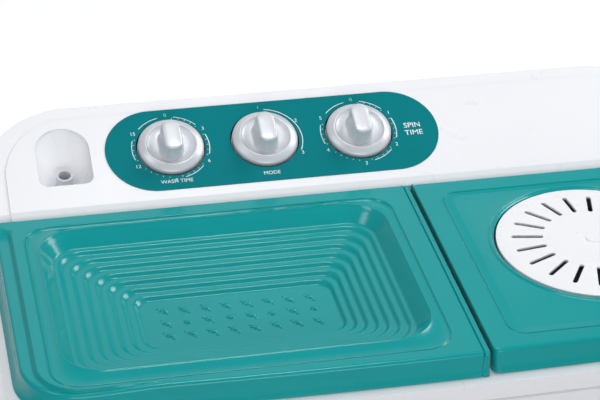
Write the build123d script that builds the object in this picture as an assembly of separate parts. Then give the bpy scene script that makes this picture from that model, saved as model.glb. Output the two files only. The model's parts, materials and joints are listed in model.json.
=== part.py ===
"""Twin tub washer: wash tub and spin tub side by side under two hinged lids and a sloping console.

Row frame in millimetres: +X to the user's right, +Y to the rear, +Z up, origin under the middle of the feet.
"""
from build123d import *
import math
import os

# ------------------------------------------------------------------ driving dimensions
WIDTH = 780.0
DEPTH = 456.0
DECK_Z = 846.0             # top of the deck that the lids stand over
LID_TOP_Z = 872.0          # top of both closed lids
LID_REAR_Y = 96.0          # rear edge of both lids
LID_SKIN = 3.0
SHELL = 3.0                # wall of the moulded covers and tubs
FRONT_BOW = 9.5            # how far the front edge swells forward at the middle
CORNER_FRONT = 66.0
CORNER_REAR = 105.0

CONSOLE_FRONT_Y = 98.0
CONSOLE_TILT = 22.25       # degrees
CONSOLE_FACE = (-356.0, 356.0, -60.0, 212.0, 68.0)  # raised face: x0, x1, y0, y1, corner radius
CONSOLE_BAND_DROP = 2.0    # how far the band round the raised face lies lower
CONSOLE_EDGE = (7.0, 3.5)  # sloped front edge of the console: run, drop

HINGE_Y = 87.0
HINGE_Z = 863.0
HINGE_R = 9.0              # quarter-round at the rear of each lid
PIN_R = 2.0
PIN_PLAY = 0.05
LUG_X_WASH = (-345.0, 26.0)
LUG_X_SPIN = (98.0, 345.0)

WASH_LID_X = (-375.0, 60.0)
SPIN_LID_X = (64.5, 375.0)
WASH_LID_FRONT = -214.5
SPIN_LID_FRONT = -212.0
LID_CORNER = 56.0
APRON_DEPTH = 25.5
APRON_FLARE_FRONT = 3.0
APRON_FLARE_SIDE = 6.0

TRAY_RIM = (-334.0, 22.0, -175.0, 69.0, 40.0)       # x0, x1, y0, y1, corner radius
TRAY_TOP_TERRACE = (-322.0, 8.0, -163.0, 52.5, 28.0)
TRAY_FLOOR = (-242.0, -53.0, -96.0, -19.0, 10.0)
TRAY_TOP_TERRACE_Z = 857.0
TRAY_FLOOR_Z = 832.0
TERRACES = 7
WASH_PANEL = (-348.0, 32.0, -199.0, 76.0, 28.0)     # recessed field round the tray
SPIN_PANEL = (88.0, 352.0, -190.0, 71.0, 18.0)
PANEL_STEP = 1.5

SPIN_AXIS = (220.0, -44.0)
VENT_R = 100.0
VENT_SLOTS = 20

PANEL_CENTRE = (-70.4, 71.4)                        # on the console: x and distance up the slope
PANEL_HALF_RUN = 127.3
PANEL_R = 52.9
KNOB_X = (-180.8, -79.8, 22.7)
KNOB_V = 73.2
KNOB_R = 35.6
KNOB_WELL_R = 36.9
CONTROL_LENGTHS = ((0, 54.0), (1, 44.0), (2, 54.0)) # knob number and length of the housing under it

INLET_X = -294.5
INLET_V = (36.5, 111.0)
INLET_R = 28.5
INLET_CORNER = 10.0
INLET_TILT = 14.0
INLET_SPIGOT_R = 8.8

WASH_OPENING = (-358.0, 38.0, -196.0, 78.0, 60.0)
WASH_TUB_FLOOR = (-342.0, 22.0, -180.0, 62.0, 50.0)
TUB_TOP_Z = 843.0
WASH_FLOOR_Z = 372.0
WASH_CENTRE = (-160.0, -59.0)
SPIN_OPENING_R = 118.0
SPIN_TUB_R = 138.0
SPIN_TUB_FLOOR_Z = 440.0
BASKET_R = 121.0
BASKET_FLOOR_Z = 470.0
BASKET_TOP_Z = 824.0

PULSATOR_R = 115.0
LARGE_PULLEY_R = 80.0
SMALL_PULLEY_R = 20.0
BELT_Z = 225.0
WASH_MOTOR = (25.0, -59.0)
MOTOR_R = 60.0
BRAKE_DRUM_R = 45.0
SPRING_Z = (24.0, 66.0)
SPIN_MOTOR_Z = (70.0, 190.0)
BRAKE_PIVOT = (283.0, 20.0)
SHAFT_PLAY = 0.06

CABINET_INSET = 2.0
CABINET_Z = (80.0, 812.0)
BASE_Z = (12.0, 80.0)
HAND_HOLD_Z = (560.0, 604.0)
HAND_HOLD_Y = (-60.0, 60.0)
HAND_HOLD_DEPTH = 19.0

VALVE = (-49.5, 183.0)
DRAIN_Z = 48.0
GLAND = (268.0, 105.0)                              # x and z of the cord gland in the rear wall

half_w = WIDTH / 2
half_d = DEPTH / 2
tilt = math.radians(CONSOLE_TILT)
console = Plane(origin=(0, CONSOLE_FRONT_Y, LID_TOP_Z), x_dir=(1, 0, 0),
                z_dir=(0, -math.sin(tilt), math.cos(tilt)))
out_dir = "parts"
os.makedirs(out_dir, exist_ok=True)


# ------------------------------------------------------------------ helpers
def save(name, shape):
    """Write one sub-part."""
    shape.label = name
    export_step(shape, os.path.join(out_dir, name + ".step"))


def joined(shapes):
    """Fuse a list of solids."""
    result = shapes[0]
    for shape in shapes[1:]:
        result = result + shape
    return result


def group(shapes):
    """Separate solids kept in one node."""
    solids = []
    for shape in shapes:
        solids.extend(shape.solids())
    return Compound(children=solids)


def block(x0, x1, y0, y1, z0, z1):
    """Box given by its limits."""
    centre = ((x0 + x1) / 2, (y0 + y1) / 2, (z0 + z1) / 2)
    return Pos(*centre) * Box(x1 - x0, y1 - y0, z1 - z0)


def tube(x, y, z0, z1, outer, inner=0.0):
    """Upright cylinder or ring."""
    height = z1 - z0
    solid = Pos(x, y, (z0 + z1) / 2) * Cylinder(outer, height)
    if inner > 0:
        solid = solid - Pos(x, y, (z0 + z1) / 2) * Cylinder(inner, height + 2)
    return solid


def bar_x(x0, x1, y, z, radius):
    """Cylinder along X."""
    return Pos((x0 + x1) / 2, y, z) * (Rot(0, 90, 0) * Cylinder(radius, x1 - x0))


def bar_y(y0, y1, x, z, radius):
    """Cylinder along Y."""
    return Pos(x, (y0 + y1) / 2, z) * (Rot(90, 0, 0) * Cylinder(radius, y1 - y0))


def round_rect(x0, x1, y0, y1, radius, z):
    """Rounded rectangle face at a height."""
    return Pos((x0 + x1) / 2, (y0 + y1) / 2, z) * RectangleRounded(x1 - x0, y1 - y0, radius)


def round_block(rect, z0, z1, grow=0.0):
    """Upright block with a rounded plan, grown outward by a margin."""
    x0, x1, y0, y1, radius = rect
    plan = round_rect(x0 - grow, x1 + grow, y0 - grow, y1 + grow, radius + grow, z0)
    return extrude(plan, z1 - z0)


def drafted_block(rect_low, z_low, rect_high, z_high, grow=0.0):
    """Rounded block that changes size from one height to another."""
    faces = []
    for rect, z in ((rect_low, z_low), (rect_high, z_high)):
        x0, x1, y0, y1, radius = rect
        faces.append(round_rect(x0 - grow, x1 + grow, y0 - grow, y1 + grow, radius + grow, z))
    return loft(faces)


def bowed_plan(x0, x1, y_front, y1, front_radius, rear_radius, inset=0.0):
    """Plan with a swelling front edge; the swell belongs to the whole machine's width."""
    sag_left = FRONT_BOW * (x0 / half_w) ** 2
    sag_right = FRONT_BOW * (x1 / half_w) ** 2
    x_mid = (x0 + x1) / 2
    sag_mid = FRONT_BOW * (x_mid / half_w) ** 2
    left, right = x0 + inset, x1 - inset
    front, rear = y_front + inset, y1 - inset
    edges = [
        ThreePointArc((left, front + sag_left), (x_mid, front + sag_mid), (right, front + sag_right)),
        Line((right, front + sag_right), (right, rear)),
        Line((right, rear), (left, rear)),
        Line((left, rear), (left, front + sag_left)),
    ]
    face = make_face(edges)
    for radius, test in front_radius:
        corner = [v for v in face.vertices() if v.Y < 0 and test(v.X)]
        face = fillet(corner, radius - inset)
    if rear_radius > inset:
        face = fillet([v for v in face.vertices() if v.Y > rear - 1], rear_radius - inset)
    return face


def machine_plan(inset):
    """Outline of the whole machine seen from above."""
    corners = [(CORNER_FRONT, lambda x: x < 0), (CORNER_FRONT, lambda x: x > 0)]
    return bowed_plan(-half_w, half_w, -half_d, half_d, corners, CORNER_REAR, inset)


def slope_z(y):
    """Height of the console face above a point of the plan."""
    return LID_TOP_Z + (y - CONSOLE_FRONT_Y) * math.tan(tilt)


def side_profile(points):
    """Solid with a side outline in the Y-Z plane, wider than the machine."""
    return extrude(Plane.YZ * make_face(Polyline(*points, close=True)), half_w + 20, both=True)


def pipe(points, radii, outer, inner=0.0):
    """Round tube along straight runs joined by arcs."""
    path = FilletPolyline(*points, radius=radii)
    start = Plane(origin=path @ 0, z_dir=path % 0)
    body = sweep(start * Circle(outer), path=path)
    if inner > 0:
        body = body - sweep(start * Circle(inner), path=path)
    return body


def spring_places():
    """Centres of the three springs under the spin motor."""
    return [(SPIN_AXIS[0] + 55 * math.cos(math.radians(a)), SPIN_AXIS[1] + 55 * math.sin(math.radians(a)))
            for a in (90, 210, 330)]


# ------------------------------------------------------------------ base and cabinet
def base_tray():
    outer = (-376.0, 376.0, -214.0, 200.0, 52.0)
    tray = round_block(outer, BASE_Z[0], BASE_Z[1] - 4)
    tray = tray - round_block(outer, BASE_Z[0] + SHELL, BASE_Z[1], -SHELL)
    flange = extrude(Pos(0, 0, BASE_Z[1] - 4) * machine_plan(CABINET_INSET), 4)
    flange = flange - round_block(outer, BASE_Z[1] - 10, BASE_Z[1] + 5, -SHELL)
    tray = tray + flange
    for x in (-200.0, 0.0, 100.0, 340.0):
        tray = tray + block(x - 2, x + 2, -211.5, 197.5, BASE_Z[0] + 1, BASE_Z[0] + 12)
    for x, y in spring_places():
        tray = tray + tube(x, y, BASE_Z[0] + 1, SPRING_Z[0], 16)
    return tray - bar_y(190, 210, VALVE[0], DRAIN_Z, 13.0)


def rubber_feet():
    feet = []
    for x in (-320.0, 320.0):
        for y in (-165.0, 150.0):
            foot = tube(x, y, 0, BASE_Z[0], 22) - tube(x, y, -1, 4, 9)
            feet.append(chamfer(foot.edges().group_by(Axis.Z)[0], 1.5))
    return group(feet)


def cabinet_shell():
    low, high = CABINET_Z
    shell = extrude(Pos(0, 0, low) * machine_plan(CABINET_INSET), high - low)
    shell = shell - extrude(Pos(0, 0, low - 1) * machine_plan(CABINET_INSET + SHELL), high - low + 2)
    wall = half_w - CABINET_INSET
    for side in (-1, 1):
        cup = block(wall - HAND_HOLD_DEPTH - SHELL, wall - 1, HAND_HOLD_Y[0] - SHELL, HAND_HOLD_Y[1] + SHELL,
                    HAND_HOLD_Z[0] - SHELL, HAND_HOLD_Z[1] + SHELL)
        hollow = block(wall - HAND_HOLD_DEPTH, wall + 5, HAND_HOLD_Y[0], HAND_HOLD_Y[1],
                       HAND_HOLD_Z[0], HAND_HOLD_Z[1])
        if side < 0:
            cup = mirror(cup, about=Plane.YZ)
            hollow = mirror(hollow, about=Plane.YZ)
        shell = shell + cup - hollow
    shell = shell - block(-240, 240, half_d - 20, half_d + 5, 140, 620)
    lip = extrude(Pos(0, 0, high - 8) * machine_plan(CABINET_INSET + 1.2), 18)
    lip = lip - extrude(Pos(0, 0, high - 9) * machine_plan(CABINET_INSET + SHELL), 20)
    shell = shell + lip
    shell = shell - bar_y(half_d - 20, half_d + 5, GLAND[0], GLAND[1], 9.0)
    for x in (-248.0, 248.0):
        for z in (150.0, 380.0, 610.0):
            shell = shell - bar_y(half_d - 20, half_d + 5, x, z, 2.0)
    return group(cabinet_walls(shell))


def cabinet_walls(shell):
    """The shell cut into front, rear, two sides and four corners, which meet face to face."""
    cut_x = half_w - CORNER_FRONT
    cut_front = -half_d + CORNER_FRONT + 8
    cut_rear = half_d - CORNER_REAR
    low, high = CABINET_Z[0] - 5, CABINET_Z[1] + 20
    walls = [shell & block(-cut_x, cut_x, -half_d - 5, 0, low, high),
             shell & block(-cut_x, cut_x, 0, half_d + 5, low, high)]
    for x0, x1 in ((-half_w - 5, -cut_x), (cut_x, half_w + 5)):
        for y0, y1 in ((-half_d - 5, cut_front), (cut_front, cut_rear), (cut_rear, half_d + 5)):
            walls.append(shell & block(x0, x1, y0, y1, low, high))
    return walls


def rear_service_panel():
    face = half_d - CABINET_INSET
    panel = block(-256, 256, face, face + 1.2, 124, 636)
    louvres = []
    for row in range(8):
        for x in (-120.0, 0.0, 120.0):
            louvres.append(block(x - 40, x + 40, face - 2, face + 4, 480 + 14 * row, 485 + 14 * row))
    panel = panel - joined(louvres)
    for x in (-248.0, 248.0):
        for z in (150.0, 380.0, 610.0):
            panel = panel - bar_y(face - 2, face + 4, x, z, 2.0)
    return panel


def rear_panel_screws():
    face = half_d - CABINET_INSET
    screws = []
    for x in (-248.0, 248.0):
        for z in (150.0, 380.0, 610.0):
            screws.append(bar_y(face - 8, face + 1.2, x, z, 1.9) + bar_y(face + 1.2, face + 2.0, x, z, 4.0))
    return group(screws)


# ------------------------------------------------------------------ top cover with console
def console_cut_profile(face_drop, floor_z, front_y, bottom_z):
    """Side outline of the deck and the wedge-shaped console with its sloped front edge."""
    rear_y = half_d + 30
    run, drop = CONSOLE_EDGE
    return [(-half_d - 30, bottom_z), (-half_d - 30, floor_z), (front_y, floor_z),
            (front_y, slope_z(front_y) - face_drop - drop),
            (front_y + run, slope_z(front_y + run) - face_drop),
            (rear_y, slope_z(rear_y) - face_drop), (rear_y, bottom_z)]


def hinge_lugs(centres):
    """Lugs on the deck that carry the hinge pins; each stem stands in front of the pin."""
    lugs = []
    for x in centres:
        stem = block(x - 5, x + 5, HINGE_Y - 8, HINGE_Y - 2, DECK_Z - 1, HINGE_Z)
        head = bar_x(x - 5, x + 5, HINGE_Y, HINGE_Z, 5.2)
        lugs.append(stem + head - bar_x(x - 8, x + 8, HINGE_Y, HINGE_Z, PIN_R + PIN_PLAY))
    return joined(lugs)


def inlet_scoop(grow):
    """Arched scoop in the console, deepest at its front end."""
    v0, v1 = INLET_V
    arch = INLET_R + grow
    top = v1 - INLET_R
    plan = Pos(INLET_X, (v0 - grow + top) / 2) * Rectangle(2 * arch, top - v0 + grow)
    plan = fillet(plan.vertices().group_by(Axis.Y)[0], INLET_CORNER + grow)
    plan = plan + Pos(INLET_X, top) * Circle(arch)
    column = console * (Pos(0, 0, -45) * extrude(plan, 60))
    floor_points = [(v0 - 10, -30.0 - grow), (v0 + 24, -30.0 - grow), (v1 + 4, 1.5 - grow),
                    (v1 + 4, 40.0), (v0 - 10, 40.0)]
    wedge_plane = Plane(origin=console.from_local_coords((INLET_X, 0, 0)), x_dir=console.y_dir,
                        z_dir=(1, 0, 0))
    wedge = extrude(wedge_plane * make_face(Polyline(*floor_points, close=True)), 60, both=True)
    return column & wedge


def inlet_axis_plane():
    """Plane at the foot of the inlet spigot, tilted forward."""
    lean = math.radians(INLET_TILT)
    foot = console.from_local_coords((INLET_X, 56.0, -30.0))
    return Plane(origin=foot, x_dir=(1, 0, 0), z_dir=(0, -math.sin(lean), math.cos(lean)))


def top_cover():
    outline = extrude(Pos(0, 0, CABINET_Z[1]) * machine_plan(0), 140)
    face_block = round_block(CONSOLE_FACE, CABINET_Z[1], CABINET_Z[1] + 140)
    low = side_profile(console_cut_profile(CONSOLE_BAND_DROP, DECK_Z, CONSOLE_FRONT_Y, CABINET_Z[1]))
    high = side_profile(console_cut_profile(0, DECK_Z, CONSOLE_FRONT_Y, CABINET_Z[1]))
    body = (outline & low) + (face_block & high)
    drop = (SHELL + CONSOLE_BAND_DROP) / math.cos(tilt)
    inside = extrude(Pos(0, 0, CABINET_Z[1] - 5) * machine_plan(SHELL), 140)
    hollow = side_profile(console_cut_profile(drop, DECK_Z - SHELL, CONSOLE_FRONT_Y + SHELL,
                                              CABINET_Z[1] - 10))
    body = body - (inside & hollow)
    coaming_wash = round_block(WASH_OPENING, DECK_Z - 1, DECK_Z + 6, 2.5)
    body = body + coaming_wash - round_block(WASH_OPENING, DECK_Z - 10, DECK_Z + 10)
    coaming_spin = tube(SPIN_AXIS[0], SPIN_AXIS[1], DECK_Z - 1, DECK_Z + 6, SPIN_OPENING_R + 3)
    body = body + coaming_spin - tube(SPIN_AXIS[0], SPIN_AXIS[1], DECK_Z - 10, DECK_Z + 10, SPIN_OPENING_R)
    body = body + hinge_lugs(LUG_X_WASH) + hinge_lugs(LUG_X_SPIN)
    for x in KNOB_X:
        cup = console * (Pos(x, KNOB_V, -5) * Cylinder(KNOB_WELL_R + 2.5, 6))
        well = console * (Pos(x, KNOB_V, 2) * Cylinder(KNOB_WELL_R, 10))
        bore = console * (Pos(x, KNOB_V, -5) * Cylinder(6.0, 20))
        body = body + cup - well - bore
    below_face = side_profile(console_cut_profile(0.2, DECK_Z, CONSOLE_FRONT_Y, CABINET_Z[1]))
    body = body + (inlet_scoop(2.5) & below_face) - inlet_scoop(0)
    foot = inlet_axis_plane()
    body = body - foot * Cylinder(INLET_SPIGOT_R + 0.2, 30)
    body = body - foot * (Pos(0, 0, 5) * Cylinder(INLET_SPIGOT_R + 3.2, 10))
    for x, y in wash_flange_holes() + spin_flange_holes():
        body = body - tube(x, y, TUB_TOP_Z - 1, TUB_TOP_Z + 2, 1.8)
    for index, length in CONTROL_LENGTHS:
        for dx in (-length / 2 - 7, length / 2 + 7):
            body = body - console * (Pos(KNOB_X[index] + dx, KNOB_V, -6.5) * Cylinder(1.8, 3.2))
    return body


def control_panel():
    plate = SlotCenterToCenter(2 * PANEL_HALF_RUN, 2 * PANEL_R)
    plate = extrude(Pos(PANEL_CENTRE[0], PANEL_CENTRE[1]) * plate, 0.8)
    for x in KNOB_X:
        plate = plate - Pos(x, KNOB_V, 0) * Cylinder(KNOB_WELL_R, 6)
    return console * plate


def wash_flange_holes():
    """Places of the screws through the wash tub's flange."""
    x0, x1, y0, y1 = WASH_OPENING[:4]
    rows = [(x, y) for x in (x0 + 70, (x0 + x1) / 2, x1 - 70) for y in (y0 - 8, y1 + 8)]
    return rows + [(x0 - 8, -60.0), (x1 + 8, -60.0)]


def spin_flange_holes():
    """Places of the screws through the spin tub's top ring."""
    return [(SPIN_AXIS[0] + 130 * math.cos(math.radians(a)), SPIN_AXIS[1] + 130 * math.sin(math.radians(a)))
            for a in range(0, 360, 60)]


# ------------------------------------------------------------------ lids
def lid_outline(x_range, y_front, left, grow, z):
    """Lid plan at one height; it runs on past the seam side and the rear, which are cut later."""
    x0, x1 = x_range
    radius = LID_CORNER + grow
    if left:
        corner = [(radius, lambda x: x < -300)]
        plan = bowed_plan(x0 - grow, x1 + 60, y_front - grow, LID_REAR_Y + 60, corner, 0)
    else:
        corner = [(radius, lambda x: x > 300)]
        plan = bowed_plan(x0 - 60, x1 + grow, y_front - grow, LID_REAR_Y + 60, corner, 0)
    return Pos(0, 0, z) * plan


def lid_blank(x_range, y_front, left, grow):
    """Block with the lid's outline: flared on its outer side and front, straight at the seam."""
    x0, x1 = x_range
    foot_z = LID_TOP_Z - APRON_DEPTH
    wide = (x0 - APRON_FLARE_SIDE, x1) if left else (x0, x1 + APRON_FLARE_SIDE)
    top = lid_outline(x_range, y_front, left, grow, LID_TOP_Z)
    foot = lid_outline(wide, y_front - APRON_FLARE_FRONT, left, grow, foot_z)
    body = loft([foot, top])
    if left:
        return body & block(x0 - 30, x1 + grow, y_front - 30, LID_REAR_Y + 30, 700, 900)
    return body & block(x0 - grow, x1 + 30, y_front - 30, LID_REAR_Y + 30, 700, 900)


def hinge_ribs(centres):
    """Pairs of ribs under the lid's rear edge that hold the pins."""
    ribs = []
    for x in centres:
        for side in (-1, 1):
            centre = x + side * 9
            ribs.append(bar_x(centre - 2, centre + 2, HINGE_Y, HINGE_Z, HINGE_R - LID_SKIN + 1))
    return joined(ribs) - joined([bar_x(x - 20, x + 20, HINGE_Y, HINGE_Z, PIN_R) for x in centres])


def hinge_pins(centres):
    return group([bar_x(x - 11, x + 11, HINGE_Y, HINGE_Z, PIN_R) for x in centres])


def lid_shell(x_range, y_front, left):
    """Top skin, aprons and rolled rear edge of a lid."""
    x0, x1 = x_range
    ahead = block(-500, 500, -300, HINGE_Y, 700, 900)
    roll = bar_x(-500, 500, HINGE_Y, HINGE_Z, HINGE_R)
    foot = bar_x(-500, 500, HINGE_Y, HINGE_Z, 15.0) & block(-500, 500, 0, LID_REAR_Y, 700, HINGE_Z)
    outer = lid_blank(x_range, y_front, left, 0) & (ahead + roll + foot)
    under = block(-500, 500, -300, HINGE_Y, 700, LID_TOP_Z - LID_SKIN)
    under_roll = bar_x(-500, 500, HINGE_Y, HINGE_Z, HINGE_R - LID_SKIN)
    outer = outer - (lid_blank(x_range, y_front, left, -LID_SKIN) & (under + under_roll))
    if left:
        return outer - block(x0 + 6, x1 - LID_SKIN, 0, 300, 700, HINGE_Z)
    return outer - block(x0 + LID_SKIN, x1 - 6, 0, 300, 700, HINGE_Z)


def terrace_rect(step):
    """Plan of one terrace of the scrub tray, from the widest (0) to the floor (TERRACES)."""
    share = step / TERRACES
    return tuple(a + (b - a) * share for a, b in zip(TRAY_TOP_TERRACE, TRAY_FLOOR))


def tray_body(grow, z_top):
    """Stepped bowl of the scrub tray; grown outward for its outside."""
    lowest = TRAY_TOP_TERRACE_Z - grow
    parts = [drafted_block(TRAY_TOP_TERRACE, lowest, TRAY_RIM, LID_TOP_Z - PANEL_STEP - grow, grow)]
    if z_top > LID_TOP_Z - PANEL_STEP - grow:
        parts.append(round_block(TRAY_RIM, LID_TOP_Z - PANEL_STEP - grow, z_top, grow))
    fall = (TRAY_TOP_TERRACE_Z - TRAY_FLOOR_Z) / TERRACES
    for step in range(1, TERRACES + 1):
        level = TRAY_TOP_TERRACE_Z - step * fall - grow
        parts.append(round_block(terrace_rect(step), level, lowest + 1, grow))
    return joined(parts)


def tray_pebbles():
    """Small domes on the tray floor that the washing is rubbed on."""
    x0, x1, y0, y1 = TRAY_FLOOR[:4]
    domes = []
    for column in range(8):
        for row in range(3):
            x = x0 + (column + 0.5) * (x1 - x0) / 8
            y = y0 + (row + 0.5) * (y1 - y0) / 3
            domes.append(Pos(x, y, TRAY_FLOOR_Z - 0.5) * Cone(6.5, 4.0, 3.0))
    return domes


def wash_lid():
    lid = lid_shell(WASH_LID_X, WASH_LID_FRONT, True)
    lid = lid - round_block(WASH_PANEL, LID_TOP_Z - PANEL_STEP, LID_TOP_Z + 5)
    lid = lid + round_block(WASH_PANEL, LID_TOP_Z - PANEL_STEP - LID_SKIN, LID_TOP_Z - PANEL_STEP)
    lid = lid + tray_body(2.5, 0) - tray_body(0, LID_TOP_Z + 5)
    for dome in tray_pebbles():
        lid = lid + dome
    seam = block(WASH_LID_X[1] - 6.2, WASH_LID_X[1] - 5.0, -300, LID_REAR_Y + 5, LID_TOP_Z - 1.2, LID_TOP_Z + 5)
    lid = lid - seam
    return lid + hinge_ribs(LUG_X_WASH)


def vent_ring_ridge():
    profile = Plane.XZ * (Pos(VENT_R + 7, LID_TOP_Z - PANEL_STEP) * Circle(2.2))
    return Pos(SPIN_AXIS[0], SPIN_AXIS[1], 0) * revolve(profile, Axis.Z)


def spin_lid():
    lid = lid_shell(SPIN_LID_X, SPIN_LID_FRONT, False)
    lid = lid - round_block(SPIN_PANEL, LID_TOP_Z - PANEL_STEP, LID_TOP_Z + 5)
    lid = lid + round_block(SPIN_PANEL, LID_TOP_Z - PANEL_STEP - LID_SKIN, LID_TOP_Z - PANEL_STEP)
    lid = lid + vent_ring_ridge()
    lid = lid - tube(SPIN_AXIS[0], SPIN_AXIS[1], 800, 900, VENT_R + 1.0)
    return lid + hinge_ribs(LUG_X_SPIN)


def spin_vent():
    """Domed disc with radial slots; a flange under it snaps below the lid's skin."""
    base = LID_TOP_Z - PANEL_STEP
    outline = make_face([
        Line((0, base + 1.5), (0, base + 4.0)),
        ThreePointArc((0, base + 4.0), (VENT_R * 0.5, base + 3.1), (VENT_R, base + 0.4)),
        Line((VENT_R, base + 0.4), (VENT_R, base - 3.5)),
        Line((VENT_R, base - 3.5), (VENT_R + 4, base - 3.5)),
        Line((VENT_R + 4, base - 3.5), (VENT_R + 4, base - 5.5)),
        Line((VENT_R + 4, base - 5.5), (VENT_R - 3, base - 5.5)),
        Line((VENT_R - 3, base - 5.5), (VENT_R - 3, base - 2.0)),
        ThreePointArc((VENT_R - 3, base - 2.0), (VENT_R * 0.5, base + 0.7), (0, base + 1.5)),
    ])
    disc = revolve(Plane.XZ * outline, Axis.Z)
    disc = disc + Pos(0, 0, base + 3.5) * Cone(11, 9, 3.0)
    slots = []
    for index in range(VENT_SLOTS):
        turn = 360.0 / VENT_SLOTS * index + 3.8
        slot = extrude(Pos(68.2, 0, base - 10) * SlotOverall(32.4, 5.0), 30)
        slots.append(Rot(0, 0, turn) * slot)
    disc = disc - slots
    return Pos(SPIN_AXIS[0], SPIN_AXIS[1], 0) * disc


# ------------------------------------------------------------------ knobs, shafts and timer bodies
def knob():
    """Knob standing on the console's plane, bar pointing up the slope."""
    skirt = revolve(Plane.XZ * make_face(Polyline(
        (0, -1.5), (KNOB_R, -1.5), (KNOB_R, 4.0), (KNOB_R - 5.5, 8.0), (KNOB_R - 7.5, 7.2),
        (22, 5.0), (16, 7.5), (11, 14.0), (0, 14.0), close=True)), Axis.Z)
    grip = extrude(Pos(0, 0, 4) * (Rot(0, 0, 90) * SlotOverall(40, 19)), 21.5, taper=4)
    grip = fillet(grip.edges().group_by(Axis.Z)[-1], 2.5)
    body = skirt + grip
    return body - Pos(0, 0, 5) * Cylinder(3.0, 24)


def knob_at(index):
    return console * (Pos(KNOB_X[index], KNOB_V, 0) * knob())


def shaft_at(index, low, crank):
    """Control shaft under a knob, some with a crank arm at its lower end."""
    shaft = Pos(0, 0, (low + 16.5) / 2) * Cylinder(3.0, 16.5 - low)
    if crank:
        arm = extrude(Pos(11, 0, low) * SlotOverall(30, 9), 3)
        shaft = shaft + arm
    return console * (Pos(KNOB_X[index], KNOB_V, 0) * shaft)


def control_body(index, length, width, depth):
    """Housing of a timer or switch hanging under the console."""
    body = Pos(0, 0, -9 - depth / 2) * Box(length, width, depth)
    body = fillet(body.edges().filter_by(Axis.Z), 6)
    body = body + Pos(0, 0, -8.5) * Cylinder(5.5, 3)
    body = body - Pos(0, 0, -30) * Cylinder(3.05, 120)
    for dx in (-length / 2 - 7, length / 2 + 7):
        ear = Pos(dx, 0, -9.5) * Box(18, 14, 2) - Pos(dx, 0, -9.5) * Cylinder(1.9, 5)
        body = body + ear
    return console * (Pos(KNOB_X[index], KNOB_V, 0) * body)


# ------------------------------------------------------------------ water inlet, filter and drain
def inlet_spigot():
    foot = inlet_axis_plane()
    stub = Pos(0, 0, 4) * Cylinder(INLET_SPIGOT_R, 28)
    stub = stub + Pos(0, 0, 1.5) * Cylinder(INLET_SPIGOT_R + 3, 3)
    stub = stub - Pos(0, 0, 4) * Cylinder(INLET_SPIGOT_R - 2.3, 40)
    return foot * stub


def inlet_duct():
    """Closed channel that drops from the spigot and runs forward to the wash tub's rear wall."""
    foot = inlet_axis_plane().from_local_coords((0, 0, -10))
    top_z = foot.Z - 3
    rear = foot.Y + 18
    outside = block(INLET_X - 16, INLET_X + 16, foot.Y - 18, rear, 815, top_z)
    outside = outside + block(INLET_X - 16, INLET_X + 16, 81, rear, 815, 838)
    inside = block(INLET_X - 14, INLET_X + 14, foot.Y - 16, rear - 2, 817, top_z - 2)
    inside = inside + block(INLET_X - 14, INLET_X + 14, 80, rear - 2, 817, 836)
    return outside - inside - tube(INLET_X, foot.Y, top_z - 5, top_z + 5, 10.5)


def filter_cover():
    """Slotted cover over the overflow channel on the tub's right wall."""
    cover = block(2, 24, -120, -20, 470, 800) - block(4, 40, -118, -22, 472, 798)
    slots = [block(0, 6, -112 + 14 * i, -106 + 14 * i, 490 + 60 * j, 530 + 60 * j)
             for i in range(7) for j in range(3)]
    window = block(0, 6, -98, -42, 676, 784)
    tab = block(3, 35.9, -90, -50, 796, 800)
    return cover - joined(slots) - window + tab


def lint_filter():
    frame = block(-3.5, 1.5, -104, -36, 670, 790)
    return frame - block(-3.5, 0.0, -98, -42, 676, 784) - joined(
        [block(-5, 5, -97 + 11 * i, -91 + 11 * i, 682 + 18 * j, 694 + 18 * j) for i in range(5) for j in range(6)])


def drain_valve_body():
    """Valve chamber with inlets from both tubs and an outlet below."""
    x, y = VALVE
    body = Pos(x, y, 345) * Box(54, 50, 90)
    body = fillet(body.edges().filter_by(Axis.Z), 8)
    body = body + tube(x, y, 390, 402, 18) + tube(x, y, 280, 301, 11)
    body = body + bar_y(y - 40, y - 24, x, 322, 9) + bar_x(x + 26, x + 42, y, 350, 8)
    body = body - tube(x, y, 270, 312, 8.5) - tube(x, y, 311, 420, 9.06)
    return body - bar_y(y - 45, y, x, 322, 7) - bar_x(x, x + 45, y, 350, 6)


def valve_plunger():
    x, y = VALVE
    return tube(x, y, 331.5, 408, 9.0)


def drain_strap():
    """Flat strap that lifts the plunger when the selector's crank comes round."""
    x, y = VALVE
    return block(x - 1, x + 1, y - 6, y + 6, 408, 862)


def drain_outlet_elbow():
    """Rigid elbow that turns the outlet to the rear wall of the base."""
    x, y = VALVE
    floor_z = DRAIN_Z - 12.5
    body = tube(x, y, floor_z, 108, 11.0) + bar_y(y, 226, x, DRAIN_Z, 11.0) + bar_y(200, 203, x, DRAIN_Z, 18.0)
    return body - tube(x, y, floor_z + 3, 110, 8.4) - bar_y(y, 230, x, DRAIN_Z, 8.5)


def drain_hoses():
    """Three short hoses: wash tub to valve, spin tub to valve, valve to the outlet elbow."""
    x, y = VALVE
    from_wash = pipe([(x, 40, 366), (x, 40, 322), (x, y - 25.5, 322)], [19.0], 11.5, 9.0)
    spin_route = [(150, 60, 434), (150, 60, 385), (150, y, 350), (x + 27.5, y, 350)]
    from_spin = pipe(spin_route, [22.0, 55.0], 10.5, 8.0)
    outlet = tube(x, y, 90, 299, 14, 11.0)
    return group([from_wash, from_spin, outlet])


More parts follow.
